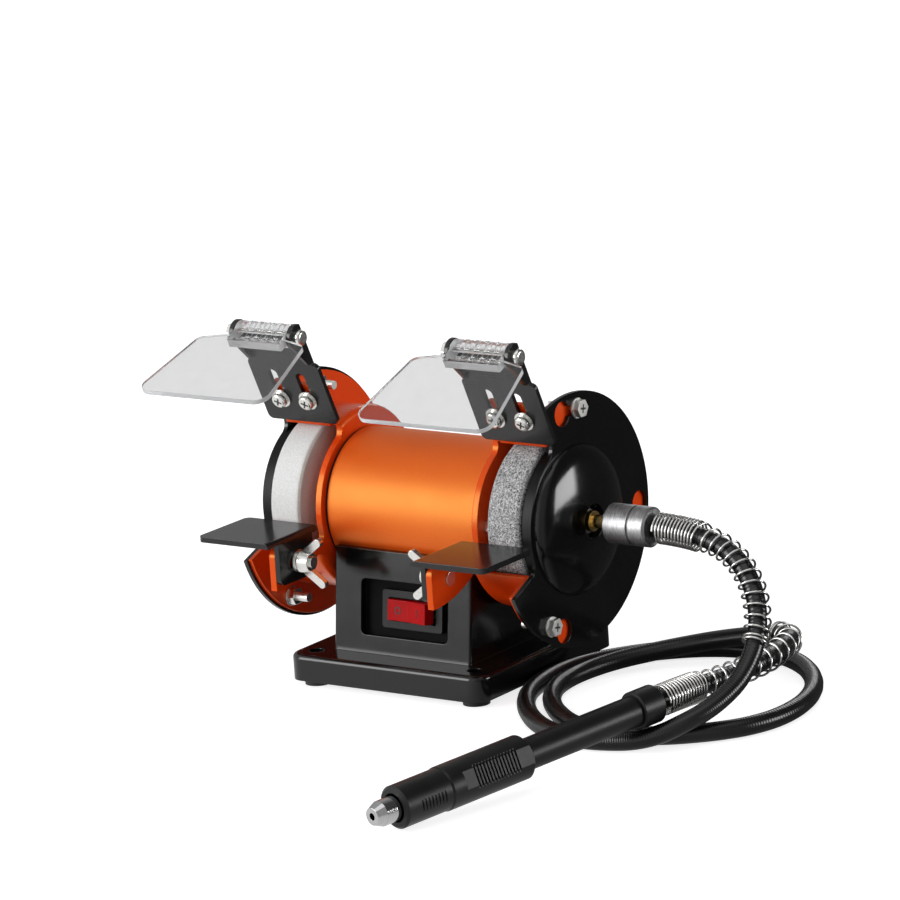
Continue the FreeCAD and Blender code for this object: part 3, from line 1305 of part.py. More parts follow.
def flex_sleeve():
    """Turned sleeve with a groove before its end ring; the bush sits in its bore."""
    start = SLEEVE_START
    rear = SLEEVE_END
    outer = SLEEVE_DIAMETER / 2
    ring_start = rear - SLEEVE_RING_LENGTH
    groove = outer - SLEEVE_GROOVE_DEPTH
    groove_start = ring_start - SLEEVE_GROOVE_WIDTH
    bush = COUPLING_DIAMETER / 2 + BUSH_WALL + SEAT_FIT
    bush_end = start + SLEEVE_CHAMFER + BUSH_LENGTH
    socket = HOSE_DIAMETER / 2 + HOSE_FIT
    socket_end = bush_end + 2
    c = SLEEVE_CHAMFER
    return turned([(start, bush), (start, outer - c), (start + c, outer), (groove_start, outer),
                   (groove_start, groove), (ring_start, groove), (ring_start, outer), (rear - c, outer),
                   (rear, outer - c), (rear, WIRE_DIAMETER), (socket_end, WIRE_DIAMETER),
                   (socket_end, socket), (bush_end, socket), (bush_end, bush)])


def flex_bush():
    x0 = SLEEVE_START + SLEEVE_CHAMFER
    outer = COUPLING_DIAMETER + 2 * BUSH_WALL
    return ring(x0, x0 + BUSH_LENGTH, outer, COUPLING_DIAMETER + 2 * RUNNING_FIT)


def route_segments(points):
    """Straight runs and tangent arcs through a route's points, as (kind, ...) with lengths."""
    segments = []
    radii = []
    start = points[0]
    for before, here, after in zip(points, points[1:], points[2:]):
        u = (here - before).normalize()
        w = (after - here).normalize()
        turn = math.acos(max(-1.0, min(1.0, u.dot(w))))
        tangent = 0.45 * min((here - before).Length, (after - here).Length)
        radius = tangent / math.tan(turn / 2)
        enter = here - u * tangent
        leave = here + w * tangent
        towards = (w - u).normalize()
        middle = here + towards * (radius / math.cos(turn / 2) - radius)
        centre = here + towards * (radius / math.cos(turn / 2))
        segments.append(("line", start, enter, (enter - start).Length))
        segments.append(("arc", enter, middle, leave, centre, radius, turn, radius * turn))
        radii.append(radius)
        start = leave
    segments.append(("line", start, points[-1], (points[-1] - start).Length))
    return segments, radii


def segment_edge(segment):
    if segment[0] == "line":
        return Part.LineSegment(segment[1], segment[2]).toShape()
    return Part.Arc(segment[1], segment[2], segment[3]).toShape()


def pipe(edges, at, direction, radius):
    profile = Part.Wire(Part.Circle(at, direction, radius).toShape())
    return Part.Wire(edges).makePipeShell([profile], True, False)


def flex_hose():
    segments, radii = route_segments(HOSE_ROUTE)
    length = sum(s[-1] for s in segments)
    start = HOSE_ROUTE[0]
    edges = [segment_edge(s) for s in segments]
    tube = pipe(edges, start, HOSE_ROUTE[1] - start, HOSE_DIAMETER / 2)
    expected = math.pi * (HOSE_DIAMETER / 2) ** 2 * length
    print("hose length %.1f, bend radii %s" % (length, " ".join("%.0f" % r for r in radii)))
    print("hose volume %.1f, section times length %.1f" % (tube.Volume, expected))
    return only_solid(tube)


class Route:
    """Position and a steady cross frame along the hose's centre line."""

    def __init__(self, points):
        self.segments = route_segments(points)[0]
        self.length = sum(s[-1] for s in self.segments)

    def place(self, distance):
        """Point and direction at a distance from the start."""
        left = min(max(distance, 0.0), self.length)
        for segment in self.segments:
            if left <= segment[-1] + 1e-9:
                return self.on_segment(segment, left)
            left -= segment[-1]
        return self.on_segment(self.segments[-1], self.segments[-1][-1])

    def on_segment(self, segment, distance):
        if segment[0] == "line":
            way = (segment[2] - segment[1]).normalize()
            return segment[1] + way * distance, way
        enter, leave, centre, radius = segment[1], segment[3], segment[4], segment[5]
        spoke = (enter - centre).normalize()
        axis = spoke.cross(leave - centre).normalize()
        across = axis.cross(spoke)
        angle = distance / radius
        point = centre + (spoke * math.cos(angle) + across * math.sin(angle)) * radius
        return point, across * math.cos(angle) - spoke * math.sin(angle)


def biarc(p, t, q, u):
    """Two tangent arcs from p with direction t to q with direction u."""
    chord = q - p
    sum_t = t + u
    bend = 1.0 - t.dot(u)
    along = chord.dot(sum_t)
    if bend < 1e-9:
        reach = chord.dot(chord) / (4.0 * chord.dot(u))
    else:
        reach = (-along + math.sqrt(along * along + 2.0 * bend * chord.dot(chord))) / (2.0 * bend)
    first = p + t * reach
    second = q - u * reach
    joint = (first + second) * 0.5
    return [tangent_arc(p, first, joint), tangent_arc(joint, second, q)]


def tangent_arc(p, corner, q):
    """Arc from p to q whose tangents meet at corner."""
    middle = (p + q) * 0.5
    half = (q - p).Length / 2
    rise = corner - middle
    if rise.Length < 1e-7:
        return Part.LineSegment(p, q).toShape()
    slope = math.acos(min(1.0, half / (corner - p).Length))
    top = middle + rise.normalize() * (half * math.tan(slope / 2))
    return Part.Arc(p, top, q).toShape()


def coil_profile(close_turns, open_turns, open_pitch):
    """Functions of the turn count: distance along the hose, and radius of the coil."""
    ease = 1.0
    end_turns = 1.5

    def pitch(turn):
        if turn < close_turns:
            return CLOSE_PITCH
        if turn > close_turns + open_turns:
            return CLOSE_PITCH
        return open_pitch

    steps = 8
    total = close_turns + open_turns + end_turns
    table = [0.0]
    count = int(total * steps)
    for k in range(count):
        table.append(table[-1] + pitch((k + 0.5) / steps) / steps)

    def distance(turn):
        place = turn * steps
        k = min(int(place), count - 1)
        return table[k] + (table[k + 1] - table[k]) * (place - k)

    def radius(turn):
        share = min(max((turn - close_turns) / ease, 0.0), 1.0)
        return CLOSE_RADIUS + (OPEN_RADIUS - CLOSE_RADIUS) * share

    return distance, radius, total


def coil_point(route, reach, radius, angle, reverse):
    """Point on the coil round the hose, with level and upright cross directions."""
    point, way = route.place(route.length - reach if reverse else reach)
    side = way.cross(EZ).normalize()
    top = side.cross(way)
    return point + (side * math.cos(angle) + top * math.sin(angle)) * radius


def spring(close_turns, open_turns, open_pitch, reverse):
    """One wire: close turns at the fitting, open turns over the hose and a closed end."""
    route = Route(HOSE_ROUTE)
    distance, radius, total = coil_profile(close_turns, open_turns, open_pitch)
    lead = 3 * WIRE_DIAMETER

    def at(turn):
        return coil_point(route, lead + distance(turn), radius(turn), 2 * math.pi * turn, reverse)

    def direction(turn):
        step = 0.01
        low = max(turn - step, 0.0)
        high = min(turn + step, total)
        return (at(high) - at(low)).normalize()

    halves = int(total * 2)
    knots = [k / 2 for k in range(halves + 1)]
    foot = coil_point(route, 0.0, radius(0), -0.4, reverse)
    way = route.place(route.length if reverse else 0.0)[1] * (-1.0 if reverse else 1.0)
    stub = foot + way * WIRE_DIAMETER
    edges = [Part.LineSegment(foot, stub).toShape()]
    edges += biarc(stub, way, at(0), direction(0))
    for a, b in zip(knots, knots[1:]):
        edges += biarc(at(a), direction(a), at(b), direction(b))
    last = at(knots[-1])
    edges.append(Part.LineSegment(last, last + direction(knots[-1]) * WIRE_DIAMETER).toShape())
    wire = pipe(edges, foot, way, WIRE_DIAMETER / 2)
    print("spring turns %.1f, least gap %.2f" % (total, least_gap(at, total)))
    return only_solid(wire)


def least_gap(at, total):
    """Smallest clear distance between turns of a coil."""
    per_turn = 16
    points = [at(k / per_turn) for k in range(int(total * per_turn))]
    least = 1e9
    for k, p in enumerate(points):
        for q in points[k + per_turn // 2:k + 3 * per_turn // 2]:
            least = min(least, (p - q).Length)
    return least - WIRE_DIAMETER


# Handpiece, along its own axis

def handpiece_matrix():
    along = (REAR - TIP).normalize()
    side = along.cross(EZ).normalize() * -1.0
    up = along.cross(side)
    return FreeCAD.Matrix(along.x, side.x, up.x, TIP.x, along.y, side.y, up.y, TIP.y,
                          along.z, side.z, up.z, TIP.z, 0, 0, 0, 1)


def hand_length():
    return (REAR - TIP).Length


def hand_turned(profile):
    return placed(turned(profile, V(0, 0, 0)), handpiece_matrix())


def collet_nut():
    nose = NUT_NOSE_DIAMETER / 2
    tip = NUT_TIP_DIAMETER / 2
    hole = COLLET_BORE / 2
    return hand_turned([(0, hole), (0, tip), (NUT_TAPER_LENGTH, nose), (NUT_NOSE_LENGTH, nose),
                        (NUT_NOSE_LENGTH, hole)])


def handpiece_spindle():
    start = NUT_NOSE_LENGTH
    end = start + HAND_SPINDLE_LENGTH
    outer = HAND_SPINDLE_DIAMETER / 2
    hole = COLLET_BORE / 2
    return hand_turned([(start, hole), (start, outer), (end, outer), (end, 0), (COLLET_DEPTH, 0),
                        (COLLET_DEPTH, hole)])


def handpiece_tube():
    end = hand_length()
    outer = TUBE_DIAMETER / 2
    bore = HAND_SPINDLE_DIAMETER / 2 + RUNNING_FIT
    bore_end = NUT_NOSE_LENGTH + HAND_SPINDLE_LENGTH + 3
    return hand_turned([(TUBE_START, bore), (TUBE_START, outer), (end - COLLAR_LENGTH, outer),
                        (end - COLLAR_LENGTH, outer - 1), (end, outer - 1), (end, 0), (bore_end, 0),
                        (bore_end, bore)])


def handpiece_collar():
    end = hand_length()
    start = end - COLLAR_LENGTH
    outer = COLLAR_DIAMETER / 2
    inner = TUBE_DIAMETER / 2 - 1 + SEAT_FIT
    return hand_turned([(start, inner), (start, outer - 0.6), (start + 0.6, outer), (end - 1.2, outer),
                        (end, outer - 1.2), (end, inner)])


def grip_body():
    """Turned grip: mouth round the collet nut, throat round the spindle, bore on the tube."""
    start = GRIP_START
    end = start + GRIP_LENGTH
    step = start + GRIP_FRONT_LENGTH
    front = GRIP_FRONT_DIAMETER / 2
    rear = GRIP_DIAMETER / 2
    mouth = NUT_NOSE_DIAMETER / 2 + GRIP_MOUTH_GAP
    mouth_end = start + GRIP_MOUTH_DEPTH
    throat = HAND_SPINDLE_DIAMETER / 2 + GRIP_THROAT_GAP
    seat = TUBE_START - GRIP_SLIDE - 1.0
    bore = TUBE_DIAMETER / 2 + RUNNING_FIT
    return turned([(mouth_end, throat), (mouth_end, mouth), (start, mouth), (start, front - GRIP_EDGE),
                   (start + GRIP_EDGE, front), (step, front), (step + GRIP_STEP_LENGTH, rear),
                   (end - GRIP_REAR_CHAMFER, rear), (end, rear - GRIP_REAR_CHAMFER), (end, bore),
                   (seat, bore), (seat, throat)], V(0, 0, 0))


def rib_cutters(count, first, pitch, depth_radius):
    """Grooves across the grip's side that faces -Y, half a pitch wide."""
    reach = GRIP_DIAMETER
    return [block(first + k * pitch, first + (k + 0.5) * pitch, -reach, -depth_radius, -reach, reach)
            for k in range(count)]


def grip_panel():
    """Cutters for one flat panel and its ribs."""
    reach = GRIP_DIAMETER
    flat = block(GRIP_START + GRIP_PANEL_START, GRIP_START + GRIP_LENGTH + 1, -reach, -GRIP_PANEL_RADIUS,
                 -reach, reach)
    ribs = rib_cutters(GRIP_PANEL_RIBS, GRIP_START + GRIP_PANEL_RIB_START, GRIP_PANEL_RIB_PITCH,
                       GRIP_PANEL_RADIUS - GRIP_PANEL_RIB_DEPTH)
    return flat.fuse(ribs)


def grip_sleeve():
    body = grip_body()
    for turn in (0.0, 180.0):
        panel = grip_panel()
        panel.rotate(V(0, 0, 0), EX, GRIP_PANEL_TURN + turn)
        body = body.cut(panel)
    ribs = rib_cutters(GRIP_FRONT_RIBS, GRIP_START + GRIP_FRONT_RIB_START, GRIP_FRONT_RIB_PITCH,
                       GRIP_FRONT_DIAMETER / 2 - GRIP_FRONT_RIB_DEPTH)
    body = body.cut(ribs[0].fuse(ribs[1:]))
    return only_solid(placed(body, handpiece_matrix()))


PIECES = {
    "base_housing": base_housing,
    "bottom_cover": bottom_cover,
    "bottom_cover_screws": bottom_cover_screws,
    "ring_feet": ring_feet,
    "cord_gland": cord_gland,
    "switch_frame": switch_frame,
    "switch_rocker": switch_rocker,
    "motor_housing": motor_housing,
    "housing_gaskets": housing_gaskets,
    "stator_core": stator_core,
    "field_coils": field_coils,
    "brush_holders": brush_holders,
    "carbon_brushes": carbon_brushes,
    "bearing_left": lambda: bearing(-1),
    "bearing_right": lambda: bearing(1),
    "through_bolts": through_bolts,
    "spindle_shaft": spindle_shaft,
    "armature_core": armature_core,
    "armature_windings": armature_windings,
    "commutator": commutator,
    "cooling_fan": cooling_fan,
    "wheel_flanges": wheel_flanges,
    "felt_wheel": lambda: mirrored(wheel()),
    "grinding_wheel": wheel,
    "wheel_nuts": wheel_nuts,
    "drive_coupling": drive_coupling,
    "guard_left": lambda: guard(-1),
    "guard_right": lambda: guard(1),
    "cover_left": lambda: cover(-1),
    "cover_right": lambda: cover(1),
    "cover_bolts": cover_bolts,
    "cover_nuts": cover_nuts,
    "tool_rest_left": lambda: tool_rest(-1),
    "tool_rest_right": lambda: tool_rest(1),
    "rest_bolts": rest_bolts,
    "rest_washers": rest_washers,
    "wing_nut_left": lambda: wing_nut(-1),
    "wing_nut_right": lambda: wing_nut(1),
    "shield_bracket_left": lambda: shield_bracket(-1),
    "shield_bracket_right": lambda: shield_bracket(1),
    "bracket_screws": bracket_screws,
    "hinge_bolt_left": lambda: hinge_bolt(-1),
    "hinge_bolt_right": lambda: hinge_bolt(1),
    "eye_shield_left": lambda: eye_shield(-1),
    "eye_shield_right": lambda: eye_shield(1),
    "flex_sleeve": flex_sleeve,
    "flex_bush": flex_bush,
    "flex_hose": flex_hose,
    "drive_spring": lambda: spring(DRIVE_SPRING_CLOSE_TURNS, DRIVE_SPRING_OPEN_TURNS,
                                   DRIVE_SPRING_OPEN_PITCH, False),
    "hand_spring": lambda: spring(HAND_SPRING_CLOSE_TURNS, HAND_SPRING_OPEN_TURNS,
                                  HAND_SPRING_OPEN_PITCH, True),
    "handpiece_tube": handpiece_tube,
    "handpiece_collar": handpiece_collar,
    "grip_sleeve": grip_sleeve,
    "collet_nut": collet_nut,
    "handpiece_spindle": handpiece_spindle,
}


def main():
    os.makedirs("parts", exist_ok=True)
    for name, make in PIECES.items():
        shape = make()
        if not shape.isValid():
            print("not valid:", name)
        shape.exportStep(os.path.join("parts", name + ".step"))


main()
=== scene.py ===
import bmesh
import bpy
import json
import math
from mathutils import Matrix, Vector

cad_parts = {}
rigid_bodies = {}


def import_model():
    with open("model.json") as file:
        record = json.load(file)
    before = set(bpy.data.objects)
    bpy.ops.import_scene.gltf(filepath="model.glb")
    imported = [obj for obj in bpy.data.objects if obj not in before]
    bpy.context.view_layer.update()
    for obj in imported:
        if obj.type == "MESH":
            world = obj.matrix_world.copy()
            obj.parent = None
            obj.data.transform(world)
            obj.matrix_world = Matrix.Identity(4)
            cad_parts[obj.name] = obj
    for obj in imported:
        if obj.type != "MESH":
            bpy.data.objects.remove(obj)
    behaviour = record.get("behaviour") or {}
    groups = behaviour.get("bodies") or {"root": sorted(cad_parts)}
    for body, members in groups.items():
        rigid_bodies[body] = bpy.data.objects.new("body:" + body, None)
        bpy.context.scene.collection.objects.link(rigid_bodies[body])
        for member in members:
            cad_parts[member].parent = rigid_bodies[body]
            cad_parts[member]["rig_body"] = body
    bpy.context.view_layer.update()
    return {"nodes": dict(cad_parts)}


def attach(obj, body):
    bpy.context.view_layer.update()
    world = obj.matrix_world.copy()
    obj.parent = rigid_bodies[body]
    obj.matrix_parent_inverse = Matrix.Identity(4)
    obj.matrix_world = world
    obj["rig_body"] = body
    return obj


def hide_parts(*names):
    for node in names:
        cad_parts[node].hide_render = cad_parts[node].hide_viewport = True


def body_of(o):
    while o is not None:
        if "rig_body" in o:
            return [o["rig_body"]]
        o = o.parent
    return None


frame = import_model()
NODES = frame["nodes"]
MM = 0.001

# Camera fitted to the photograph, which is square
CAMERA_AZIMUTH = 36.062
CAMERA_ELEVATION = 13.405
CAMERA_ROLL = -3.84
CAMERA_DISTANCE = 2441.9 * MM
CAMERA_TARGET = Vector((6.326, 0.0, 99.406)) * MM
FOCAL_PIXELS = 5598.7
PHOTO_PIXELS = 900
SENSOR = 36.0

# Hose route, by the same points as the part's own, given in millimetres
HOSE_DIAMETER = 8.2 * MM
FLOOR_HEIGHT = HOSE_DIAMETER / 2 + 0.2 * MM
LOW = FLOOR_HEIGHT / MM
HOSE_ROUTE = [Vector(p) * MM for p in (
    (111, 0, 74.25), (131, 0, 74), (152, -2, 68), (166.3, -8, 54), (173, -18.5, 36.5), (173.2, -33, 23.5),
    (171.8, -46.5, 17.8), (168.6, -56.8, 14), (163.7, -65.2, 11), (156.2, -73, 7.2), (146.5, -77.4, 4.9),
    (136, -80.3, LOW), (124, -82.5, LOW), (109.5, -79.5, LOW), (95, -71.5, LOW), (82, -60, LOW),
    (70.5, -46, LOW), (62.3, -31, LOW), (57.9, -14, LOW), (57, 1.5, LOW), (59.8, 15, LOW), (66, 28, LOW),
    (74, 39, LOW), (83.5, 48.5, LOW), (95, 56.5, LOW), (109, 61.5, LOW), (124, 62, LOW), (140, 57, LOW),
    (155.5, 46, LOW), (169, 30, LOW), (178, 13, LOW), (183, -5, LOW), (183.5, -23.5, LOW), (179, -38, LOW),
    (172, -48, LOW), (164.5, -55.5, LOW), (154.2, -63.5, LOW), (141, -69.5, LOW), (126, -71.5, LOW),
    (110.5, -66.5, LOW), (96, -56.5, LOW), (84.5, -45.5, LOW), (75.5, -33.5, LOW), (69, -20, LOW),
    (66.6, -7, LOW), (67.8, 7, 4.8), (74, 21.5, 6), (84.5, 34.5, 7.4), (96, 43, 9.3), (108, 47.8, 11.6),
    (121, 49.6, 14), (136.5, 50.6, 16.5), (145.7, 46.7, 17.6), (152.1, 39, 18.1), (155.3, 26, 18.2),
    (158.1, 8, 18), (157.2, -10, 18), (155.7, -28, 18.5), (155.15, -52.9, 20.31), (151.6, -67.2, 19.3))]

# Felt wheel's inner face along the spindle and the depth of the painted brown shade from it, and the eye
# shields' upward side
FELT_EDGE = -50.0 * MM
FELT_SHADE_DEPTH = 2.5 * MM
SHEET_NORMAL = (0.0, -0.4, 0.917)

# Lean of the switch panel and of the shield brackets
PANEL_LEAN = math.radians(7.1)
BRACKET_LEAN = math.radians(24.2)
PANEL_OUT = Vector((0.0, -math.cos(PANEL_LEAN), math.sin(PANEL_LEAN)))
BRACKET_OUT = Vector((0.0, -math.cos(BRACKET_LEAN), -math.sin(BRACKET_LEAN)))
PANEL_FOOT = 16.0 * MM
PANEL_FLAT = 0.9985
RECESS_STEP = 2.0 * MM

# Height of the spindle, and the reach from it and the outward turn of the covers' inner sides and lips
AXIS_HEIGHT = 74.25 * MM
INSIDE_REACH = 36.5 * MM
INSIDE_TURN = 0.2

# Painted shade of the screws' cross recesses, drawn as flat dark crosses, and the marks on the rocker
RIGHT = Vector((1.0, 0.0, 0.0))
ASLANT = Vector((0.3, 0.2, 1.0))
FACING = 0.9
PARALLEL = 0.999
FACE_STEP = 0.02 * MM
HEAD_APART = 9.0 * MM
CROSS_REACH = 1.9 * MM
CROSS_HALF = 0.42 * MM
MARK_PROUD = 0.04 * MM
RING_OUTER = 1.7 * MM
RING_INNER = 1.1 * MM
RING_STEPS = 28
BAR_LENGTH = 1.7 * MM
BAR_HALF = 0.3 * MM

# Strain-relief springs round the hose's ends: node, close turns, open turns, open pitch, from the far end
SPRINGS = (("drive_spring", 12, 12, 5.0 * MM, False), ("hand_spring", 13, 12, 8.0 * MM, True))
WIRE = 1.0 * MM
CLOSE_RADIUS = 6.4 * MM
OPEN_RADIUS = 5.5 * MM
CLOSE_PITCH = 1.7 * MM
END_TURNS = 1.5
LEAD = 3 * WIRE
COIL_STEPS = 28
LINE_STEP = 2 * MM
SHORTEST = 1e-9
HOSE_RIBS = 640

# Lamps, by name, place and size in metres, and power in watts
LAMP_TARGET = Vector((0.02, 0.0, 0.08))
LAMPS = (("key", (-0.95, -1.45, 0.56), (1.0, 1.1), 22.5),
         ("side", (1.43, 0.73, 0.24), (0.7, 0.5), 11.0),
         ("top", (0.45, -0.3, 1.5), (1.2, 1.0), 3.0),
         ("back", (-0.5, 1.6, 0.78), (0.7, 0.4), 4.0))

# Ambient light, the studio's tones in mirrors from its dim to its bright side, and the floor
WORLD_STRENGTH = 0.34
BRIGHT_SIDE = (-0.57, -0.82, 0.0)
STUDIO_TONES = ((0.0, 0.05), (0.24, 0.08), (0.36, 0.42), (0.55, 0.42), (0.78, 0.95), (1.0, 1.0))
FLOOR_SIZE = 12.0
FLOOR_GLOW = 0.79
FLOOR_SHADE = 0.62


# Material building blocks

class Finish:
    """One procedural material: a Principled shader and short helpers that feed it."""

    def __init__(self, name):
        self.material = bpy.data.materials.new(name)
        self.material.use_nodes = True
        self.tree = self.material.node_tree
        self.shader = self.tree.nodes["Principled BSDF"]

    def node(self, kind, **values):
        made = self.tree.nodes.new(kind)
        for key, value in values.items():
            setattr(made, key, value)
        return made

    def link(self, source, target):
        self.tree.links.new(source, target)

    def set(self, **sockets):
        for key, value in sockets.items():
            self.shader.inputs[key.replace("_", " ")].default_value = value
        return self

    def place(self, stretch=(1.0, 1.0, 1.0)):
        """Texture coordinates in the object's own metres, stretched along its axes."""
        mapping = self.node("ShaderNodeMapping")
        mapping.inputs["Scale"].default_value = stretch
        self.link(self.node("ShaderNodeTexCoord").outputs["Object"], mapping.inputs["Vector"])
        return mapping.outputs["Vector"]

    def along(self, source):
        """First of the texture coordinates from a source."""
        split = self.node("ShaderNodeSeparateXYZ")
        self.link(self.node("ShaderNodeTexCoord").outputs[source], split.inputs["Vector"])
        return split.outputs["X"]

    def noise(self, scale, detail=4.0, roughness=0.55, stretch=(1.0, 1.0, 1.0)):
        """Noise factor, with its scale per metre."""
        made = self.node("ShaderNodeTexNoise")
        made.inputs["Scale"].default_value = scale
        made.inputs["Detail"].default_value = detail
        made.inputs["Roughness"].default_value = roughness
        self.link(self.place(stretch), made.inputs["Vector"])
        return made.outputs["Fac"]

    def ramp(self, factor, *stops):
        return colour_ramp(self.tree, factor, stops)

    def spread(self, factor, low, high):
        """Maps a 0 to 1 factor to a range."""
        made = self.node("ShaderNodeMapRange")
        made.inputs["To Min"].default_value = low
        made.inputs["To Max"].default_value = high
        self.link(factor, made.inputs["Value"])
        return made.outputs["Result"]

    def colour(self, output):
        self.link(output, self.shader.inputs["Base Color"])
        return self

    def rough(self, factor, low, high):
        self.link(self.spread(factor, low, high), self.shader.inputs["Roughness"])
        return self

    def relief(self, height, strength, distance, edge=0.0):
        """Bump from a height, over edges that are softened by a bevel of the given radius."""
        bump = self.node("ShaderNodeBump")
        bump.inputs["Strength"].default_value = strength
        bump.inputs["Distance"].default_value = distance
        self.link(height, bump.inputs["Height"])
        if edge > 0:
            self.link(self.bevel(edge), bump.inputs["Normal"])
        self.link(bump.outputs["Normal"], self.shader.inputs["Normal"])
        return self

    def bevel(self, radius):
        made = self.node("ShaderNodeBevel", samples=6)
        made.inputs["Radius"].default_value = radius
        return made.outputs["Normal"]


def grey(value):
    return (value, value, value)


def colour_ramp(tree, factor, stops):
    """Colours along a 0 to 1 factor, from pairs of a position and a colour."""
    made = tree.nodes.new("ShaderNodeValToRGB")
    elements = made.color_ramp.elements
    while len(elements) < len(stops):
        elements.new(0.5)
    for element, (at, colour) in zip(elements, stops):
        element.position = at
        element.color = (*colour, 1.0)
    tree.links.new(factor, made.inputs["Fac"])
    return made.outputs["Color"]


def orange_paint(name, dark, light, low, high, level):
    """Orange lacquer with fine flakes, warm in its highlights."""
    finish = Finish(name)
    flakes = finish.noise(2600, 2)
    finish.colour(finish.ramp(flakes, (0.3, dark), (0.7, light)))
    finish.rough(finish.noise(90), low, high)
    finish.relief(flakes, 0.03, 0.00005, 0.0005)
    return finish.set(IOR=1.8, Specular_IOR_Level=level, Specular_Tint=(1.0, 0.62, 0.13, 1.0)).material


def gloss_black():
    """Black stove enamel on pressed sheet."""
    finish = Finish("gloss_black")
    finish.colour(finish.ramp(finish.noise(60), (0.3, grey(0.0025)), (0.7, grey(0.004))))
    finish.rough(finish.noise(220, 3), 0.1, 0.16)
    finish.relief(finish.noise(500, 2), 0.03, 0.0001, 0.0004)
    return finish.set(Specular_IOR_Level=0.45).material


def satin_black():
    """Powder coat on bent steel sheet, with a little worn dust."""
    finish = Finish("satin_black")
    finish.colour(finish.ramp(finish.noise(120), (0.3, grey(0.006)), (0.75, grey(0.011))))
    finish.rough(finish.noise(300), 0.15, 0.23)
    finish.relief(finish.noise(2200, 3), 0.08, 0.0001, 0.0004)
    return finish.set(Specular_IOR_Level=0.45).material


def moulded_black(name, base, low, high, grain, edge=0.0005, shine=0.45):
    """Dark moulded plastic with a fine spark-eroded grain."""
    finish = Finish(name)
    finish.colour(finish.ramp(finish.noise(80), (0.3, grey(base * 0.8)), (0.7, grey(base * 1.2))))
    finish.rough(finish.noise(150), low, high)
    finish.relief(finish.noise(grain, 3), 0.06, 0.0001, edge)
    return finish.set(Specular_IOR_Level=shine).material


def rubber_black():
    """Soft black rubber of feet, gland and gaskets."""
    finish = Finish("rubber_black")
    finish.colour(finish.ramp(finish.noise(200), (0.3, grey(0.006)), (0.7, grey(0.01))))
    finish.rough(finish.noise(300), 0.45, 0.6)
    finish.relief(finish.noise(1500), 0.15, 0.0001, 0.0003)
    return finish.set(Specular_IOR_Level=0.35).material


def bright_metal(name, colour, low, high, stretch=(1.0, 1.0, 1.0), scale=500, shade=0.86):
    """Plated or turned metal, brushed along the short side of the stretch."""
    finish = Finish(name)
    grain = finish.noise(scale, 5, 0.6, stretch)
    dark = tuple(c * shade for c in colour)
    finish.colour(finish.ramp(grain, (0.3, dark), (0.7, colour)))
    finish.rough(grain, low, high)
    finish.relief(grain, 0.08, 0.0001, 0.0003)
    return finish.set(Metallic=1.0).material


def felt_white():
    """Pressed wool felt: soft fibres, with painted brown shade towards its inner side."""
    finish = Finish("felt_white")
    fibres = finish.noise(1300, 6, 0.7)
    wool = finish.ramp(fibres, (0.25, (0.66, 0.66, 0.64)), (0.6, (0.86, 0.86, 0.85)))
    edge = finish.node("ShaderNodeMapRange")
    edge.inputs["From Min"].default_value = FELT_EDGE - FELT_SHADE_DEPTH
    edge.inputs["From Max"].default_value = FELT_EDGE
    finish.link(finish.along("Object"), edge.inputs["Value"])
    # Painted shade: brown is mixed in over the last few millimetres towards the inner face
    painted_felt_shade = finish.node("ShaderNodeMix", data_type="RGBA")
    painted_felt_shade.inputs["B"].default_value = (0.3, 0.17, 0.06, 1.0)
    finish.link(finish.spread(edge.outputs["Result"], 0.0, 0.4), painted_felt_shade.inputs["Factor"])
    finish.link(wool, painted_felt_shade.inputs["A"])
    finish.colour(painted_felt_shade.outputs["Result"])
    finish.relief(fibres, 0.5, 0.0006, 0.0008)
    return finish.set(Roughness=0.95, Sheen_Weight=0.3, Sheen_Roughness=0.5).material


def stone_grey():
    """Bonded abrasive: light and dark grains of about half a millimetre."""
    finish = Finish("stone_grey")
    grains = finish.node("ShaderNodeTexVoronoi")
    grains.inputs["Scale"].default_value = 2000
    finish.link(finish.place(), grains.inputs["Vector"])
    speckle = finish.noise(3000, 3, 0.7)
    tone = finish.node("ShaderNodeMix", data_type="FLOAT")
    tone.inputs[0].default_value = 0.5
    finish.link(grains.outputs["Color"], tone.inputs[2])
    finish.link(speckle, tone.inputs[3])
    mixed = tone.outputs[0]
    finish.colour(finish.ramp(mixed, (0.28, grey(0.05)), (0.5, grey(0.4)), (0.72, grey(0.85))))
    finish.relief(mixed, 0.7, 0.0005)
    return finish.set(Roughness=0.9).material


def red_plastic():
    """Red moulding of the rocker."""
    finish = Finish("red_plastic")
    cloud = finish.noise(90)
    finish.colour(finish.ramp(cloud, (0.3, (0.36, 0.002, 0.003)), (0.7, (0.43, 0.004, 0.005))))
    finish.rough(finish.noise(250), 0.18, 0.26)
    finish.relief(finish.noise(900), 0.04, 0.0001, 0.0004)
    return finish.set(Specular_IOR_Level=0.08).material


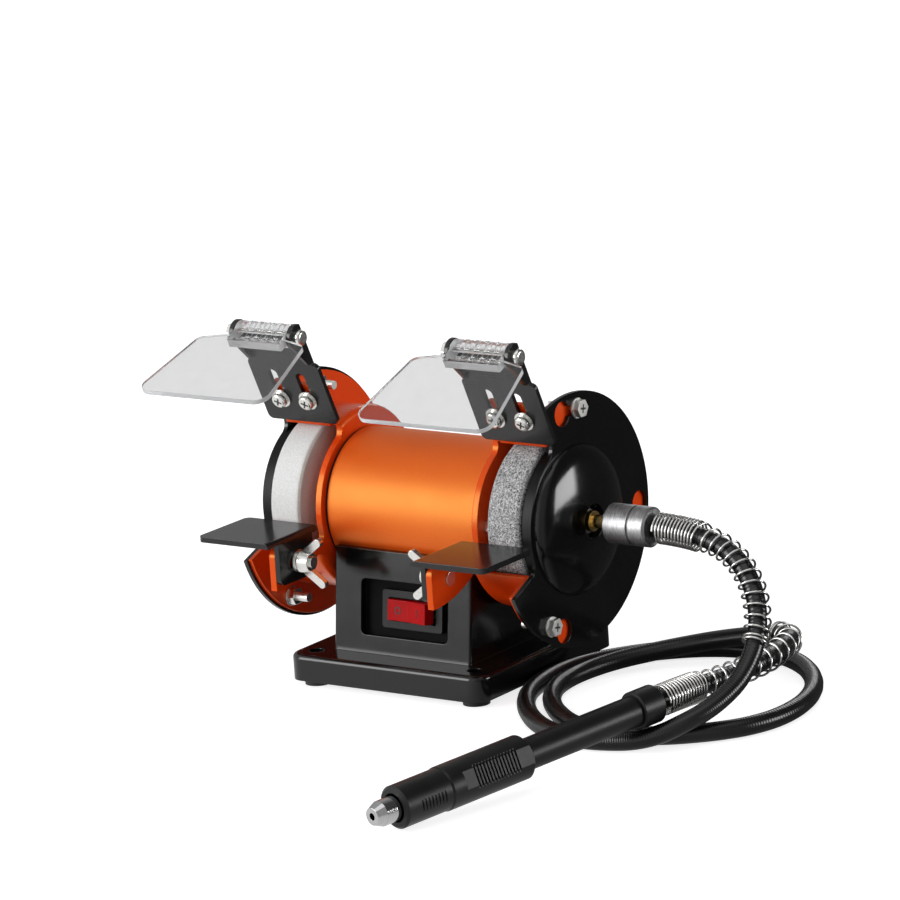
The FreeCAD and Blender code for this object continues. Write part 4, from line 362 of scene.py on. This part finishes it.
def clear_sheet():
    """Clear polycarbonate, a little grey, with faint handling marks, and a painted highlight on its rims,
    which are whiter and less clear.
    """
    finish = Finish("clear_sheet")
    marks = finish.noise(160, 5, 0.7)
    face = finish.node("ShaderNodeVectorMath", operation="DOT_PRODUCT")
    face.inputs[1].default_value = SHEET_NORMAL
    finish.link(finish.node("ShaderNodeTexCoord").outputs["Normal"], face.inputs[0])
    flat = finish.node("ShaderNodeMath", operation="ABSOLUTE")
    finish.link(face.outputs["Value"], flat.inputs[0])
    # Painted highlight: faces across the sheet, its rims, turn whiter and less clear
    rim_highlight = finish.node("ShaderNodeMapRange")
    rim_highlight.inputs["From Min"].default_value = 0.6
    rim_highlight.inputs["From Max"].default_value = 0.25
    finish.link(flat.outputs[0], rim_highlight.inputs["Value"])
    sheet = finish.ramp(marks, (0.2, grey(0.61)), (0.8, grey(0.66)))
    tone = finish.node("ShaderNodeMix", data_type="RGBA")
    tone.inputs["B"].default_value = (0.92, 0.93, 0.94, 1.0)
    finish.link(rim_highlight.outputs["Result"], tone.inputs["Factor"])
    finish.link(sheet, tone.inputs["A"])
    finish.colour(tone.outputs["Result"])
    clearness = finish.spread(rim_highlight.outputs["Result"], 0.98, 0.45)
    finish.link(clearness, finish.shader.inputs["Transmission Weight"])
    finish.rough(marks, 0.0, 0.02)
    finish.relief(marks, 0.02, 0.0002, 0.0006)
    return finish.set(IOR=1.25, Specular_IOR_Level=0.35).material


def hose_rubber():
    """Black hose over a wound liner: faint ribs across its length."""
    finish = Finish("hose_rubber")
    wave = finish.node("ShaderNodeMath", operation="MULTIPLY")
    wave.inputs[1].default_value = 2 * math.pi * HOSE_RIBS
    finish.link(finish.along("UV"), wave.inputs[0])
    ribs = finish.node("ShaderNodeMath", operation="SINE")
    finish.link(wave.outputs[0], ribs.inputs[0])
    finish.colour(finish.ramp(finish.noise(150), (0.3, grey(0.004)), (0.7, grey(0.007))))
    finish.rough(finish.noise(260), 0.2, 0.3)
    finish.relief(ribs.outputs[0], 0.2, 0.0002)
    return finish.set(Specular_IOR_Level=0.45).material


def maximum(tree, *outputs):
    """Largest of several values."""
    result = outputs[0]
    for other in outputs[1:]:
        pick = tree.nodes.new("ShaderNodeMath")
        pick.operation = "MAXIMUM"
        tree.links.new(result, pick.inputs[0])
        tree.links.new(other, pick.inputs[1])
        result = pick.outputs[0]
    return result


def studio_tone(tree, source):
    """How bright the studio is in a direction: white in front, dim to the right and behind."""
    unit = tree.nodes.new("ShaderNodeVectorMath")
    unit.operation = "NORMALIZE"
    tree.links.new(tree.nodes.new("ShaderNodeTexCoord").outputs[source], unit.inputs[0])
    toward = tree.nodes.new("ShaderNodeVectorMath")
    toward.operation = "DOT_PRODUCT"
    toward.inputs[1].default_value = BRIGHT_SIDE
    tree.links.new(unit.outputs["Vector"], toward.inputs[0])
    share = tree.nodes.new("ShaderNodeMapRange")
    share.inputs["From Min"].default_value = -1.0
    tree.links.new(toward.outputs["Value"], share.inputs["Value"])
    return colour_ramp(tree, share.outputs["Result"], [(at, grey(tone)) for at, tone in STUDIO_TONES])


def by_ray(tree, shading, mirrored, seen):
    """Joins three shaders: for shading, for mirrors, and for the camera and glass."""
    path = tree.nodes.new("ShaderNodeLightPath")
    reflected = tree.nodes.new("ShaderNodeMixShader")
    tree.links.new(path.outputs["Is Glossy Ray"], reflected.inputs["Fac"])
    tree.links.new(shading.outputs[0], reflected.inputs[1])
    tree.links.new(mirrored.outputs[0], reflected.inputs[2])
    direct = tree.nodes.new("ShaderNodeMixShader")
    looked_at = maximum(tree, path.outputs["Is Camera Ray"], path.outputs["Is Transmission Ray"])
    tree.links.new(looked_at, direct.inputs["Fac"])
    tree.links.new(reflected.outputs[0], direct.inputs[1])
    tree.links.new(seen.outputs[0], direct.inputs[2])
    return direct.outputs[0]


def floor_white():
    """Pale floor: white to the camera apart from a soft shadow, and white in front in reflections."""
    finish = Finish("floor_white")
    tree = finish.tree
    finish.colour(finish.ramp(finish.noise(3), (0.3, grey(0.8)), (0.7, grey(0.82))))
    finish.set(Roughness=0.85, Specular_IOR_Level=0.0)
    shade = finish.node("ShaderNodeBsdfDiffuse")
    shade.inputs["Color"].default_value = (*grey(FLOOR_SHADE), 1.0)
    glow = finish.node("ShaderNodeEmission")
    glow.inputs["Strength"].default_value = FLOOR_GLOW
    seen = finish.node("ShaderNodeAddShader")
    finish.link(shade.outputs[0], seen.inputs[0])
    finish.link(glow.outputs[0], seen.inputs[1])
    mirrored = finish.node("ShaderNodeEmission")
    finish.link(studio_tone(tree, "Object"), mirrored.inputs["Color"])
    joined = by_ray(tree, finish.shader, mirrored, seen)
    finish.link(joined, tree.nodes["Material Output"].inputs["Surface"])
    return finish.material


# Finishes of the CAD nodes

def coats():
    """CAD nodes under each paint, plastic, rubber, felt and stone."""
    tube = orange_paint("orange_paint", (0.66, 0.058, 0.002), (0.76, 0.078, 0.004), 0.44, 0.52, 1.0)
    # Painted shade: the guards get a redder, less glossy copy of the tube's orange, for their shaded
    # insides
    sheet = orange_paint("orange_guard_shaded", (0.68, 0.042, 0.002), (0.78, 0.056, 0.003), 0.22, 0.3, 0.4)
    pedestal = moulded_black("pedestal_plastic", 0.004, 0.1, 0.17, 1800)
    switch = moulded_black("switch_plastic", 0.008, 0.35, 0.45, 2000, shine=0.2)
    grip = moulded_black("grip_plastic", 0.006, 0.32, 0.42, 1600, 0.00012, 0.3)
    dark = moulded_black("phenolic", 0.03, 0.45, 0.6, 900)
    return {
        tube: ("motor_housing",),
        sheet: ("guard_left", "guard_right"),
        gloss_black(): ("cover_left", "cover_right"),
        satin_black(): ("shield_bracket_left", "shield_bracket_right", "tool_rest_left", "tool_rest_right"),
        pedestal: ("base_housing", "bottom_cover"),
        switch: ("switch_frame",),
        grip: ("grip_sleeve", "handpiece_tube", "handpiece_collar"),
        dark: ("carbon_brushes", "cooling_fan"),
        rubber_black(): ("ring_feet", "cord_gland", "housing_gaskets"),
        red_plastic(): ("switch_rocker",),
        clear_sheet(): ("eye_shield_left", "eye_shield_right"),
        felt_white(): ("felt_wheel",),
        stone_grey(): ("grinding_wheel",),
    }


def metals():
    """CAD nodes under each metal."""
    zinc = bright_metal("zinc_plate", (0.78, 0.77, 0.74), 0.14, 0.3, scale=900)
    satin_zinc = bright_metal("zinc_satin", (0.8, 0.79, 0.76), 0.34, 0.48, scale=900)
    steel = bright_metal("turned_steel", (0.6, 0.6, 0.61), 0.2, 0.34, (12.0, 1.0, 1.0), 220)
    chrome = bright_metal("chrome_nut", (0.56, 0.56, 0.57), 0.05, 0.1, (1.0, 12.0, 1.0), 200)
    sleeve = bright_metal("sleeve_aluminium", (0.5, 0.5, 0.51), 0.36, 0.5, (9.0, 1.0, 1.0), 260, 0.4)
    brass = bright_metal("turned_brass", (0.78, 0.56, 0.22), 0.16, 0.3, (12.0, 1.0, 1.0), 220)
    iron = bright_metal("laminations", (0.28, 0.28, 0.29), 0.4, 0.6, (20.0, 1.0, 1.0), 120)
    copper = bright_metal("copper_wire", (0.62, 0.27, 0.12), 0.3, 0.5, scale=900)
    return {
        zinc: ("bottom_cover_screws", "through_bolts", "wheel_nuts", "cover_nuts", "rest_bolts",
               "rest_washers", "wing_nut_left", "wing_nut_right", "bracket_screws", "hinge_bolt_left",
               "hinge_bolt_right"),
        satin_zinc: ("cover_bolts",),
        steel: ("spindle_shaft", "bearing_left", "bearing_right", "wheel_flanges", "handpiece_spindle"),
        chrome: ("collet_nut",),
        sleeve: ("flex_sleeve",),
        brass: ("drive_coupling", "flex_bush", "brush_holders"),
        iron: ("stator_core", "armature_core"),
        copper: ("field_coils", "armature_windings", "commutator"),
    }


def dress_nodes():
    """Gives each CAD node its finish."""
    for finishes in (coats(), metals()):
        for material, names in finishes.items():
            for name in names:
                paint(NODES[name], material)


def paint(piece, material):
    """Gives a whole piece one finish."""
    piece.data.materials.clear()
    piece.data.materials.append(material)


def dress_recess():
    """Floor of the switch recess, below the panel's own face, in a darker and duller black as painted
    shade.
    """
    # Painted shade: the recess floor gets a darker, less glossy black than the panel
    painted_shade_black = moulded_black("recess_painted_shade", 0.002, 0.5, 0.6, 900, shine=0.05)
    mesh = NODES["base_housing"].data
    mesh.materials.append(painted_shade_black)
    facing = [p for p in mesh.polygons if p.normal.dot(PANEL_OUT) > PANEL_FLAT]
    panels = [p for p in facing if p.center.z > PANEL_FOOT]
    level = max(p.center.dot(PANEL_OUT) for p in panels)
    for panel in panels:
        if panel.center.dot(PANEL_OUT) < level - RECESS_STEP:
            panel.material_index = 1


def dress_insides():
    """Duller black on the covers' inner sides and lips, towards the wheels."""
    dull = moulded_black("cover_inside", 0.003, 0.35, 0.45, 900, shine=0.15)
    for name, side in (("cover_left", -1), ("cover_right", 1)):
        mesh = NODES[name].data
        mesh.materials.append(dull)
        for face in mesh.polygons:
            reach = math.hypot(face.center.y, face.center.z - AXIS_HEIGHT)
            if face.normal.x * side < INSIDE_TURN and reach < INSIDE_REACH:
                face.material_index = 1


# Painted shade of screw recesses, and rocker marks

def head_tops(name, way):
    """Middles of the flat head faces of a node's screws, seen along a direction."""
    points = [v.co for v in NODES[name].data.vertices]
    level = max(p.dot(way) for p in points)
    groups = []
    for point in points:
        if point.dot(way) < level - FACE_STEP:
            continue
        near = [g for g in groups if (g[0] - point).length < HEAD_APART]
        if near:
            near[0].append(point)
        else:
            groups.append([point])
    return [sum(group, Vector()) / len(group) for group in groups]


def flat_outline(points, holes=()):
    """Flat mesh from points on its plane: a filled face, or a ring round a hole."""
    built = bmesh.new()
    outer = [built.verts.new(p) for p in points]
    if holes:
        inner = [built.verts.new(p) for p in holes]
        count = len(outer)
        for k in range(count):
            built.faces.new((outer[k], outer[(k + 1) % count], inner[(k + 1) % count], inner[k]))
    else:
        built.faces.new(outer)
    return built


def mark_piece(name, built, out, material, node):
    """Raised mark on a node: the flat outline gets a little height and rides with the node."""
    raised = bmesh.ops.extrude_face_region(built, geom=list(built.faces))
    moved = [g for g in raised["geom"] if isinstance(g, bmesh.types.BMVert)]
    bmesh.ops.translate(built, verts=moved, vec=out * (2 * MARK_PROUD))
    bmesh.ops.recalc_face_normals(built, faces=built.faces)
    mesh = bpy.data.meshes.new(name)
    built.to_mesh(mesh)
    built.free()
    piece = linked(name, mesh)
    mesh.materials.append(material)
    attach(piece, body_of(NODES[node])[0])


def plane_axes(out):
    """Two directions across a plane, from its outward side."""
    side = out.cross(ASLANT).normalized()
    return side, out.cross(side)


def cross_points(centre, out):
    """Outline of a cross: the same three corners of each arm, a quarter turn apart."""
    side, up = plane_axes(out)
    base = centre - out * MARK_PROUD
    points = []
    for across, along in ((side, up), (up, -side), (-side, -up), (-up, side)):
        for a, b in ((CROSS_REACH, CROSS_HALF), (CROSS_HALF, CROSS_HALF), (CROSS_HALF, CROSS_REACH)):
            points.append(base + across * a + along * b)
    return points


def screw_crosses():
    """Dark cross of painted shade on each head of the bracket screws and cover bolts, where the cross
    recess is.
    """
    shade = bright_metal("recess_shade", (0.08, 0.08, 0.08), 0.4, 0.6, scale=900)
    for name, out in (("bracket_screws", BRACKET_OUT), ("cover_bolts", RIGHT), ("cover_bolts", -RIGHT)):
        for number, centre in enumerate(head_tops(name, out)):
            side = "left" if centre.x < 0 else "right"
            label = "%s_%s_cross_%d" % (name, side, number)
            mark_piece(label, flat_outline(cross_points(centre, out)), out, shade, name)


def rocker_plate(side):
    """Middle and outward side of one of the rocker's two plates, from its own faces."""
    mesh = NODES["switch_rocker"].data
    middle = sum((v.co for v in mesh.vertices), Vector()) / len(mesh.vertices)
    facing = [p for p in mesh.polygons if p.normal.dot(PANEL_OUT) > FACING]
    half = [p for p in facing if (p.center.x - middle.x) * side > 0]
    largest = max(half, key=lambda p: p.area)
    out = largest.normal.copy()
    level = [p for p in half if abs((p.center - largest.center).dot(out)) < FACE_STEP]
    plate = [p for p in level if p.normal.dot(out) > PARALLEL]
    area = sum(p.area for p in plate)
    return sum((p.center * p.area for p in plate), Vector()) / area, out


def rocker_ring(shade):
    """Ring on the rocker's left plate, for off."""
    centre, out = rocker_plate(-1)
    side, up = plane_axes(out)
    base = centre - out * MARK_PROUD
    turns = [2 * math.pi * k / RING_STEPS for k in range(RING_STEPS)]
    ways = [side * math.cos(t) + up * math.sin(t) for t in turns]
    outer = [base + way * RING_OUTER for way in ways]
    inner = [base + way * RING_INNER for way in ways]
    mark_piece("rocker_ring", flat_outline(outer, inner), out, shade, "switch_rocker")


def rocker_bar(shade):
    """Upright bar on the rocker's right plate, for on."""
    centre, out = rocker_plate(1)
    across = RIGHT - out * out.x
    across.normalize()
    up = out.cross(across)
    base = centre - out * MARK_PROUD
    corners = ((-1, -1), (1, -1), (1, 1), (-1, 1))
    bar = [base + across * (a * BAR_HALF) + up * (b * BAR_LENGTH) for a, b in corners]
    mark_piece("rocker_bar", flat_outline(bar), out, shade, "switch_rocker")


# Hose and springs

def open_curve(name, kind, points):
    """Open curve through or along points, and its only spline."""
    curve = bpy.data.curves.new(name, "CURVE")
    curve.dimensions = "3D"
    spline = curve.splines.new(kind)
    spline.points.add(len(points) - 1)
    for slot, point in zip(spline.points, points):
        slot.co = (*point, 1.0)
    return curve, spline


def hose_curve(name):
    """Smooth curve with the route's points as control points."""
    curve, spline = open_curve(name, "NURBS", HOSE_ROUTE)
    curve.resolution_u = 12
    spline.order_u = 3
    spline.use_endpoint_u = True
    return curve


def thicken(curve, diameter, rounding):
    """Makes a curve a closed round tube."""
    curve.bevel_depth = diameter / 2
    curve.bevel_resolution = rounding
    curve.use_fill_caps = True


def linked(name, data):
    """New object in the scene."""
    piece = bpy.data.objects.new(name, data)
    bpy.context.scene.collection.objects.link(piece)
    return piece


def hose():
    """Ribbed hose in place of the plain one."""
    curve = hose_curve("hose")
    thicken(curve, HOSE_DIAMETER, 6)
    curve.materials.append(hose_rubber())
    piece = linked("hose", curve)
    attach(piece, "frame")
    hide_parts("flex_hose")
    return piece


def centre_line():
    """Points read from the hose's smooth line, with the distance to each."""
    plain = linked("hose_line", hose_curve("hose_line"))
    bpy.context.view_layer.update()
    graph = bpy.context.evaluated_depsgraph_get()
    mesh = bpy.data.meshes.new_from_object(plain.evaluated_get(graph))
    points = [v.co.copy() for v in mesh.vertices]
    bpy.data.objects.remove(plain)
    bpy.data.meshes.remove(mesh)
    reach = [0.0]
    for a, b in zip(points, points[1:]):
        reach.append(reach[-1] + (b - a).length)
    return points, reach


class Line:
    """Place and direction at a distance along the hose, from either end."""

    def __init__(self, points, reach, backwards):
        self.length = reach[-1]
        self.points = list(reversed(points)) if backwards else points
        self.reach = [self.length - r for r in reversed(reach)] if backwards else reach

    def place(self, distance):
        """Point at a distance."""
        last = len(self.points) - 2
        k = 0
        while k < last and self.reach[k + 1] < distance:
            k += 1
        a, b = self.points[k], self.points[k + 1]
        share = (distance - self.reach[k]) / max(self.reach[k + 1] - self.reach[k], SHORTEST)
        return a.lerp(b, share)

    def frame(self, distance):
        """Point at a distance, and the two directions across the hose there."""
        low = self.place(max(distance - LINE_STEP, 0.0))
        high = self.place(distance + LINE_STEP)
        way = (high - low).normalized()
        side = way.cross(Vector((0, 0, 1))).normalized()
        return self.place(distance), side, side.cross(way)


def coil_points(line, close_turns, open_turns, open_pitch):
    """Wire of a spring: close turns at the fitting, open turns along the hose, a closed end."""
    total = close_turns + open_turns + END_TURNS
    steps = int(total * COIL_STEPS)
    distance = LEAD
    points = []
    for k in range(steps + 1):
        turn = k / COIL_STEPS
        share = min(max(turn - close_turns, 0.0), 1.0)
        radius = CLOSE_RADIUS + (OPEN_RADIUS - CLOSE_RADIUS) * share
        centre, side, top = line.frame(distance)
        angle = 2 * math.pi * turn
        points.append(centre + (side * math.cos(angle) + top * math.sin(angle)) * radius)
        spaced = close_turns <= turn < close_turns + open_turns
        distance += (open_pitch if spaced else CLOSE_PITCH) / COIL_STEPS
    return points


def springs():
    """Both springs as round wire, and the hose's length."""
    wire = bright_metal("spring_wire", (0.72, 0.71, 0.69), 0.12, 0.24, scale=700)
    points, reach = centre_line()
    pieces = []
    for name, close_turns, open_turns, pitch, backwards in SPRINGS:
        line = Line(points, reach, backwards)
        label = name + "_wire"
        curve, _ = open_curve(label, "POLY", coil_points(line, close_turns, open_turns, pitch))
        thicken(curve, WIRE, 3)
        curve.materials.append(wire)
        piece = linked(label, curve)
        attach(piece, "frame")
        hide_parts(name)
        pieces.append(piece)
    return pieces, reach[-1]


# Stage

def camera():
    """Camera at the photograph's viewpoint, with its small roll."""
    azimuth = math.radians(CAMERA_AZIMUTH)
    elevation = math.radians(CAMERA_ELEVATION)
    roll = math.radians(CAMERA_ROLL)
    level = math.cos(elevation)
    back = Vector((math.sin(azimuth) * level, -math.cos(azimuth) * level, math.sin(elevation)))
    right = Vector((math.cos(azimuth), math.sin(azimuth), 0.0))
    up = back.cross(right)
    across = right * math.cos(roll) + up * math.sin(roll)
    above = up * math.cos(roll) - right * math.sin(roll)
    data = bpy.data.cameras.new("camera")
    data.sensor_width = SENSOR
    data.lens = FOCAL_PIXELS / PHOTO_PIXELS * SENSOR
    data.clip_start = 0.1
    data.clip_end = 50.0
    made = linked("camera", data)
    turned = Matrix((across, above, back)).transposed().to_4x4()
    made.matrix_world = Matrix.Translation(CAMERA_TARGET + back * CAMERA_DISTANCE) @ turned
    bpy.context.scene.camera = made


def softbox(name, place, size, power):
    """Rectangular lamp that faces the object."""
    data = bpy.data.lights.new(name, "AREA")
    data.shape = "RECTANGLE"
    data.size, data.size_y = size
    data.energy = power
    made = linked(name, data)
    made.location = place
    made.rotation_euler = (LAMP_TARGET - Vector(place)).to_track_quat("-Z", "Y").to_euler()


def world():
    """Soft grey light for shading, plain white for the camera and glass, a studio for mirrors."""
    made = bpy.data.worlds.new("studio")
    made.use_nodes = True
    tree = made.node_tree
    ambient = tree.nodes["Background"]
    ambient.inputs["Color"].default_value = (0.96, 0.97, 1.0, 1.0)
    ambient.inputs["Strength"].default_value = WORLD_STRENGTH
    white = tree.nodes.new("ShaderNodeBackground")
    white.inputs["Color"].default_value = (1.0, 1.0, 1.0, 1.0)
    mirrored = tree.nodes.new("ShaderNodeBackground")
    tree.links.new(studio_tone(tree, "Generated"), mirrored.inputs["Color"])
    joined = by_ray(tree, ambient, mirrored, white)
    tree.links.new(joined, tree.nodes["World Output"].inputs["Surface"])
    bpy.context.scene.world = made


def floor():
    """Plain floor under the feet."""
    mesh = bpy.data.meshes.new("floor")
    half = FLOOR_SIZE / 2
    corners = [(-half, -half, 0), (half, -half, 0), (half, half, 0), (-half, half, 0)]
    mesh.from_pydata(corners, [], [(0, 1, 2, 3)])
    piece = linked("floor", mesh)
    piece.data.materials.append(floor_white())


def main():
    """Builds the stage, dresses the nodes and adds the scene's own pieces."""
    bpy.context.scene.view_settings.view_transform = "Standard"
    camera()
    for lamp in LAMPS:
        softbox(*lamp)
    world()
    floor()
    dress_nodes()
    dress_recess()
    dress_insides()
    screw_crosses()
    shade = moulded_black("mark_shade", 0.01, 0.4, 0.5, 900)
    rocker_ring(shade)
    rocker_bar(shade)
    tube = hose()
    coils, length = springs()


main()
